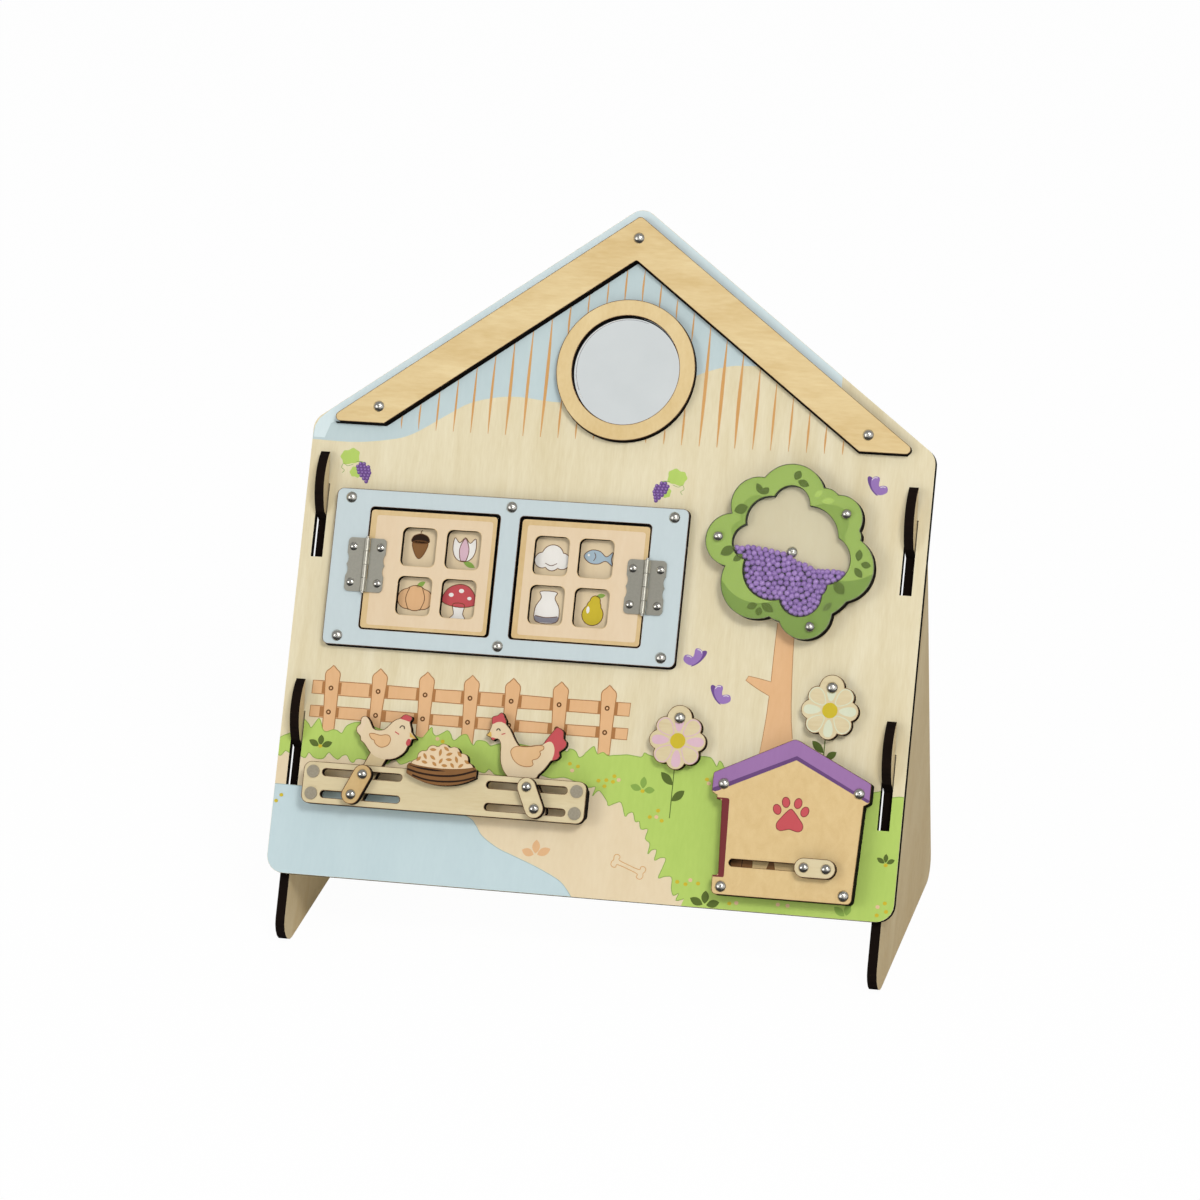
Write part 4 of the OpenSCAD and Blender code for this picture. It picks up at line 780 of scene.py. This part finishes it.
# The clear cover, with its front edge rounded; its back and its front are at these heights
COVER = 8.95, 10.3
mesh = bmesh.new()
slab(mesh, [blob(*CROWN, LOBES, 0, 240)], *COVER)
bmesh.ops.recalc_face_normals(mesh, faces=mesh.faces)
rim_edges = [edge for edge in mesh.edges
             if all(vert.co.z > COVER[1] - 0.1 for vert in edge.verts) and edge.calc_face_angle() > 0.5]
bmesh.ops.bevel(mesh, geom=rim_edges, offset=0.5, segments=3, profile=0.5, affect="EDGES", material=-1)
mesh.transform(BOARD)
cover = finish_mesh(mesh, "crown_cover_acrylic", clear, "tree_crown")
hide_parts("crown_cover")

# Flowers: eight petals, every other one filled and the others outlined, round a yellow middle
FILLED = [(6, 0.8), (8.6, 2.2), (11.8, 2.9), (14.4, 2.7), (16, 1.5), (16.4, 0)]
LINED = [(5.4, 1.1), (8, 2.9), (11, 4.2), (14.2, 4.3), (16.4, 2.6), (17.1, 0)]
full, thin = (curve(half + [(x, -y) for x, y in half[-2::-1]], 3) for half in (FILLED, LINED))
for name, u, v, tint in (("pink_flower", 57.1, 100.4, "pink"), ("white_flower", 150.2, 125.8, "mint")):
    petals = filled(moved(full, u, v, 1, turn) for turn in (0, 90, 180, 270))
    outlines = outlined((moved(thin, u, v, 1, turn) for turn in (45, 135, 225, 315)), 0.6)
    printed(name + "_petals", petals, 1, tint, name)
    printed(name + "_outlines", outlines, 1, tint, name)
    printed(name + "_middle", [[arc(u, v, 4.8)]], 2, "yellow", name)

# Hens, drawn from their upper pins, where the right hen faces left: red under the cream body, both
# inside the figure's own outline
PIN = {"left_hen": (-139.28, 64.05, 1), "right_hen": (-33.22, 64.05, -1)}
HENS = {
    "left_hen": {
        "red": [[(17.6, 37.4), (19.2, 38.9), (21.3, 39.9), (23.2, 39.5), (25, 38.8), (25.3, 37.4),
                 (24.2, 35.8), (21, 36.6)],
                [(24.2, 25), (25.6, 24.9), (26.4, 23.8), (26, 21.9), (24.5, 20.6), (23.4, 21.4), (23.2, 23)]],
        "tip": [[(-9.6, 28.4), (-7.6, 30.6), (-7.2, 34.6), (-6.2, 36.4), (-4.6, 37), (-3.4, 35.8),
                 (-4.4, 32.2), (-6.2, 27.6)]],
        "beak": [(24.9, 29.2), (25.3, 26.2), (28.8, 25.4), (29.2, 25.6)],
        "bare": [(-11.6, -12.2), (-1.9, -16.7), (11.1, 11.2), (9, 11.3), (5, 12.3), (1.6, 14.1), (0.9, 14.6)],
        "wing": [(-1, 26.4), (2, 26.8), (6, 26), (9.6, 26.6), (12, 26), (13, 23.4), (11.4, 20), (7.2, 18.6),
                 (3.6, 20.4), (2.4, 22.6), (0.4, 23.6)],
        "eye": [(18.2, 31.4), (19.2, 32.8), (20.8, 32.6), (21.2, 31)],
        "cheek": [(15.4, 28.9), (18.2, 27.4)],
    },
    "right_hen": {
        "red": [[(-5.6, 28.2), (-6.4, 29.8), (-9.4, 34.2), (-11.8, 37.5), (-13.3, 38.9), (-15.1, 38.3),
                 (-17.4, 36.5), (-17.7, 32.5), (-19.4, 30.8), (-19.9, 28.6), (-18.6, 26.3), (-15.8, 24.1),
                 (-16.4, 21.6), (-14.5, 19.2), (-11.9, 18.4), (-12.6, 21.5), (-12.8, 25), (-11.9, 28),
                 (-10.3, 29.8), (-8.2, 29.7)],
                [(20, 38.9), (20, 40.9), (21.2, 42.8), (22, 44.4), (23.1, 45.4), (24.4, 44.9), (25.6, 43.6),
                 (28, 42.9), (29, 41.5), (28.6, 38.2), (25.8, 39.5), (22.8, 39.9)],
                [(26.3, 29.7), (28.4, 29.9), (28, 28.7), (26.8, 28.2), (25.7, 29.1)]],
        "tip": [],
        "beak": [(30, 33), (28.8, 33.2), (28.2, 30.4), (29.2, 30.3), (31.5, 31.1)],
        "bare": [(-11.6, -12.2), (-1.9, -16.7), (8.4, 5.6), (-1.5, 6), (-3, 6)],
        "wing": [(-5.2, 27), (-1, 27), (4, 26), (9.6, 25.8), (13.2, 24.8), (15, 22.2), (13.6, 18.4),
                 (10.8, 15.4), (6.6, 13.6), (2, 13.6), (-0.1, 15), (0.6, 17.6), (-2.6, 19), (-4.2, 21.8),
                 (-3.6, 23.4), (-5.8, 25)],
        "eye": [(23, 34.3), (23.8, 35.5), (25, 35.3), (25.4, 34.3)],
        "cheek": [(19.6, 33), (22, 32.2)],
    },
}
for body, hen in HENS.items():
    u, v, mirror = PIN[body]
    wing = curve(hen["wing"])
    for part, tint, layer, shapes in (
            ("red", "red", 1, filled(curve(points, 2) for points in hen["red"])),
            ("beak", "beak", 1.6, [[hen["beak"]]]),
            ("stem", "bare", 0.6, [[hen["bare"]]]),
            ("wing", "wing", 2, [[wing]]),
            ("wing_edge", "orange_dark", 3, outlined([wing], 0.45)),
            ("tail_tip", "peach", 1, filled(curve(points, 3) for points in hen["tip"])),
            ("eye", "dark_brown", 3, [stroke(open_curve(hen["eye"]), 0.6)]),
            ("cheek", "red", 3, [stroke(hen["cheek"], 0.6)])):
        if shapes:
            placed = [[moved(points, u, v, mirror=mirror) for points in loops] for loops in shapes]
            printed(body + "_" + part, placed, layer, tint, body)

# Feed bowl: a cream heap with grains over a brown bowl with dark bands
BOWL_U = -88.45
rim = open_curve([(-110.2, 73.9), (-104, 72.4), (-97, 71.7), (-90, 71.4), (-82, 71.6), (-74, 72.4),
                  (-66.8, 73.9)])
heap = blob(BOWL_U, 64.8, [(0, 0, 20.5)] + [(*polar(18, angle), 4) for angle in range(24, 157, 22)], 0.2)
heap = sorted(((u, v) for u, v in heap if v > 73.2), reverse=True)
printed("feed_heap", [[heap + [(u, v) for u, v in rim if abs(u - BOWL_U) < 19.5]]], 1, "feed", "bowl")
# Each grain's middle, turn and length
GRAINS = [
    (-95.3, 82.7, 0, 4.6), (-90.4, 81.2, 85, 4.8), (-86.7, 83.8, -35, 4.4), (-84.6, 80.6, 20, 4.4),
    (-78, 81, -50, 4.6), (-103.9, 76.4, 50, 4), (-100, 78.3, -60, 4.4), (-95, 77.8, -35, 4.6),
    (-89.6, 76, 60, 4), (-84.5, 77.2, 0, 4.2), (-79.6, 77.5, -70, 4.6), (-72.8, 76.5, -30, 4),
    (-100, 74.6, -15, 4.2), (-93.5, 73.9, -40, 3.8), (-87, 73.3, -5, 4), (-82, 73.8, -50, 3.8),
    (-76.5, 73.9, 35, 4),
]
grains = [leaf(*polar(-size / 2, turn, u, v), *polar(size / 2, turn, u, v), 1.9)
          for u, v, turn, size in GRAINS]
printed("feed_grains", filled(grains), 2, "grain", "bowl")
side = arc(BOWL_U, 104.8, 43.75, 239.2, 300.8) + [(-66.2, 71.5), (-66.6, 73.2)]
printed("bowl", [[side + rim[-2:0:-1] + [(-110.3, 73.2), (-110.7, 71.5)]]], 1, "brown", "bowl")
BANDS = [
    [(-110.3, 72.3), (-104, 70.9), (-97, 70.2), (-91, 69.9), (-86, 69.9)],
    [(-110.6, 69.6), (-104, 67.9), (-97, 67), (-90, 66.7), (-82, 67.2), (-75, 68.7), (-66.4, 71.6)],
    [(-107, 66.1), (-101, 64.4), (-95, 63.5), (-88, 63.3), (-80, 63.9), (-73, 65.3), (-66.4, 67.6)],
]
bands = [stroke(open_curve(line), width, taper=width > 1.2) for line, width in zip(BANDS, (1.3, 1.2, 1.1))]
printed("bowl_bands", bands, 2, "dark_brown", "bowl")

# The dog: a strip of it shows through the slot, and its head when it slides out
head = blob(109, 49, [(0, 2.3, 11.3), (-9.5, -0.7, 6), (-2, -8, 9)], 0.2)
printed("dog_head", [[head]], 1, "cream", "dog")
tail = [(117.6, 19.6), (127, 19.6), (124, 31.6), (121.4, 31.6)]
coat = [box(93.1, 19.5, 111, 31, 1), tail, blob(117, 55.4, [(0, 0, 7.8)]), oval(146.9, 38, 8, 7)]
printed("dog_coat", filled(coat), 1.6, "brown", "dog")
face = filled([oval(94.6, 50.2, 1.5, 1.2), oval(103.4, 54.2, 1, 1.3)])
face += [stroke(open_curve([(94.8, 47.6), (97, 46), (100, 46.4)]), 0.5),
         stroke([(103.6, 19.6), (104.6, 31)], 0.4)]
printed("dog_face", face, 2.4, "dark_brown", "dog")


# ---------- beads ----------

def in_window(u, v):
    """How far inside the crown's window a point lies, from the pivot."""
    return max(r - math.hypot(u - x, v - y) for x, y, r in WINDOW)


# The number of beads, their radius, how far apart two of them come to rest, the height n of their
# layer, and the line of the heap's surface from the pivot
BEADS, BEAD, LAYER = 148, 1.95, 6.5
APART = 2.04 * BEAD
SURFACE = [
    (-37, 1.6), (-24, 2), (-9, 0.3), (-2.7, -0.8), (2.5, -5), (9, -7), (15.5, -10.2), (22.5, -9.6),
    (30, -9.8), (36, -11.4),
]


def heap_top(u):
    """The height of the heap's surface at u."""
    for (a, low), (b, high) in zip(SURFACE, SURFACE[1:]):
        if u <= b:
            return low + (high - low) * (u - a) / (b - a)
    return SURFACE[-1][1]


# The beads start at random and push each other apart until they lie side by side
beads = []
while len(beads) < BEADS:
    u, v = random.uniform(-38, 38), random.uniform(-42, 4)
    if v < heap_top(u) - BEAD and in_window(u, v) > BEAD:
        beads.append([u, v])
for turn in range(160):
    for i, a in enumerate(beads):
        for b in beads[:i]:
            du, dv = a[0] - b[0], a[1] - b[1]
            far = math.hypot(du, dv)
            if 0 < far < APART:
                push = (APART - far) / far * 0.45
                a[0] += du * push
                a[1] += dv * push
                b[0] -= du * push
                b[1] -= dv * push
    for a in beads:
        a[1] -= max(a[1] - heap_top(a[0]) + BEAD, 0) * 0.4
        if in_window(*a) < BEAD + 0.05:
            x, y, r = max(WINDOW, key=lambda w: w[2] - math.hypot(a[0] - w[0], a[1] - w[1]))
            far = math.hypot(a[0] - x, a[1] - y)
            a[0] = x + (a[0] - x) * (r - BEAD - 0.05) / far
            a[1] = y + (a[1] - y) * (r - BEAD - 0.05) / far
# A dark violet sheet behind the beads: painted shade of the heap's back beads, seen in the gaps between the
# front ones
bed = [(u, heap_top(u) - 1.4) for u in range(-35, 35)]
bed += [(u, min(y - math.sqrt(r * r - (u - x) ** 2) for x, y, r in WINDOW if abs(u - x) < r) + 0.3)
    for u in range(34, -36, -1)]
printed("bead_bed_shade", [[[(CROWN[0] + u, CROWN[1] + v) for u, v in bed]]], 2, "violet", "beads")
mesh = bmesh.new()
shade_layer = mesh.verts.layers.float.new("bead_shade")
for u, v in beads:
    n = LAYER + random.uniform(-0.2, 0.2)
    made = bmesh.ops.create_icosphere(mesh, subdivisions=2, radius=BEAD / 1000,
        matrix=Matrix.Translation(BOARD @ Vector((CROWN[0] + u, CROWN[1] + v, n))))
    tone = random.random()
    for vert in made["verts"]:
        vert[shade_layer] = tone
bead_heap = finish_mesh(mesh, "bead_heap", beads_skin, "tree_crown")
for face in bead_heap.data.polygons:
    face.use_smooth = True
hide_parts("crown_beads")


# ---------- studio ----------

def largest(tree, *values):
    """The largest of the values."""
    first, *others = values
    for value in others:
        first = add(tree, "Math", {0: first, 1: value}, operation="MAXIMUM")
    return first


def backdrop(tree, share):
    """White where the camera, a mirror or the acrylic looks straight at it, and lit otherwise."""
    path = add(tree, "LightPath")
    seen = largest(tree, *(path.outputs["Is %s Ray" % kind] for kind in ("Camera", "Glossy",
        "Transmission")))
    return add(tree, "Math", {0: seen, 1: share}, operation="MULTIPLY")


world = bpy.data.worlds.new("studio")
bpy.context.scene.world = world
world.use_nodes = True
tree = world.node_tree
way = add(tree, "TexCoord").outputs["Generated"]


def toward(direction, start, full):
    """1 in that direction and 0 away from it; start and full are cosines."""
    along = add(tree, "VectorMath", {0: way, 1: Vector(direction).normalized()}, operation="DOT_PRODUCT")
    return add(tree, "MapRange", {"Value": along.outputs["Value"], "From Min": start, "From Max": full})


# In steel the room is dim but for a large panel on the right, a small one low on the left and the
# one that the flat mirror looks at
plain = add(tree, "Math", {0: 1.0, 1: add(tree, "LightPath").outputs["Is Glossy Ray"]}, operation="SUBTRACT")
lit = largest(tree, toward((0.78, -0.55, 0.3), 0.82, 0.88), toward((-0.87, -0.5, 0.1), 0.95, 0.975),
    toward((-0.256, -0.696, 0.671), 0.994, 0.998), plain)
white = add(tree, "Background", {"Color": (1, 1, 1, 1), "Strength": add(tree, "MapRange",
    {"Value": lit, "To Min": 0.34, "To Max": 1.0})})
soft = add(tree, "Background", {"Color": (0.97, 0.98, 1.0, 1), "Strength": 0.5})
blend = add(tree, "MixShader", {0: backdrop(tree, 1.0), 1: soft, 2: white})
feed(tree.nodes["World Output"], {"Surface": blend})

# A sheet of paper as the floor: white to the camera, dim in steel
paper, tree, shader = material("white_paper_sweep")
fibre = add(tree, "TexNoise", {"Vector": add(tree, "TexCoord").outputs["Object"], "Scale": 60.0})
tint = add(tree, "Mix", {0: fibre, 6: colour("FDFDFC"), 7: colour("FAFAF9")}, data_type="RGBA")
feed(shader, {"Base Color": tint.outputs[2], "Roughness": 0.9})
dim = add(tree, "MapRange", {"Value": add(tree, "LightPath").outputs["Is Glossy Ray"], "To Min": 1.0,
    "To Max": 0.04})
glow = add(tree, "Emission", {"Color": (1, 1, 1, 1), "Strength": dim})
blend = add(tree, "MixShader", {0: backdrop(tree, 0.97), 1: shader, 2: glow})
feed(tree.nodes["Material Output"], {"Surface": blend})
mesh = bmesh.new()
bmesh.ops.create_grid(mesh, x_segments=1, y_segments=1, size=6)
data = bpy.data.meshes.new("floor")
mesh.to_mesh(data)
mesh.free()
data.materials.append(paper)
floor = bpy.data.objects.new("floor", data)
bpy.context.scene.collection.objects.link(floor)


def lamp(name, place, aim, size, power):
    light = bpy.data.lights.new(name, "AREA")
    light.shape, light.size, light.energy = "DISK", size, power
    made = bpy.data.objects.new(name, light)
    made.location = place
    made.rotation_euler = (Vector(aim) - Vector(place)).to_track_quat("-Z", "Y").to_euler()
    bpy.context.scene.collection.objects.link(made)


lamp("key_softbox", (1.3, -1.5, 2.4), (0, 0, 0.25), 0.9, 36)
lamp("fill_softbox", (-2.0, -2.0, 1.3), (0, 0, 0.2), 1.3, 16)

# Camera: on the right of the board's middle and above it, slightly rolled
AZ, EL, ROLL = math.radians(16.6293), math.radians(25.6331), -0.0606737
back = Vector((math.sin(AZ) * math.cos(EL), -math.cos(AZ) * math.cos(EL), math.sin(EL)))
right = Vector((math.cos(AZ), math.sin(AZ), 0))
up = back.cross(right)
side = right * math.cos(ROLL) + up * math.sin(ROLL)
over = up * math.cos(ROLL) - right * math.sin(ROLL)
camera = bpy.data.objects.new("camera", bpy.data.cameras.new("camera"))
camera.data.lens = 158.164
camera.data.sensor_width = 36
camera.data.clip_end = 60
turn = Matrix((side, over, back)).transposed().to_4x4()
camera.matrix_world = Matrix.Translation((0.83919, -2.83156, 1.60948)) @ turn
bpy.context.scene.collection.objects.link(camera)
bpy.context.scene.camera = camera
bpy.context.scene.view_settings.view_transform = "Standard"
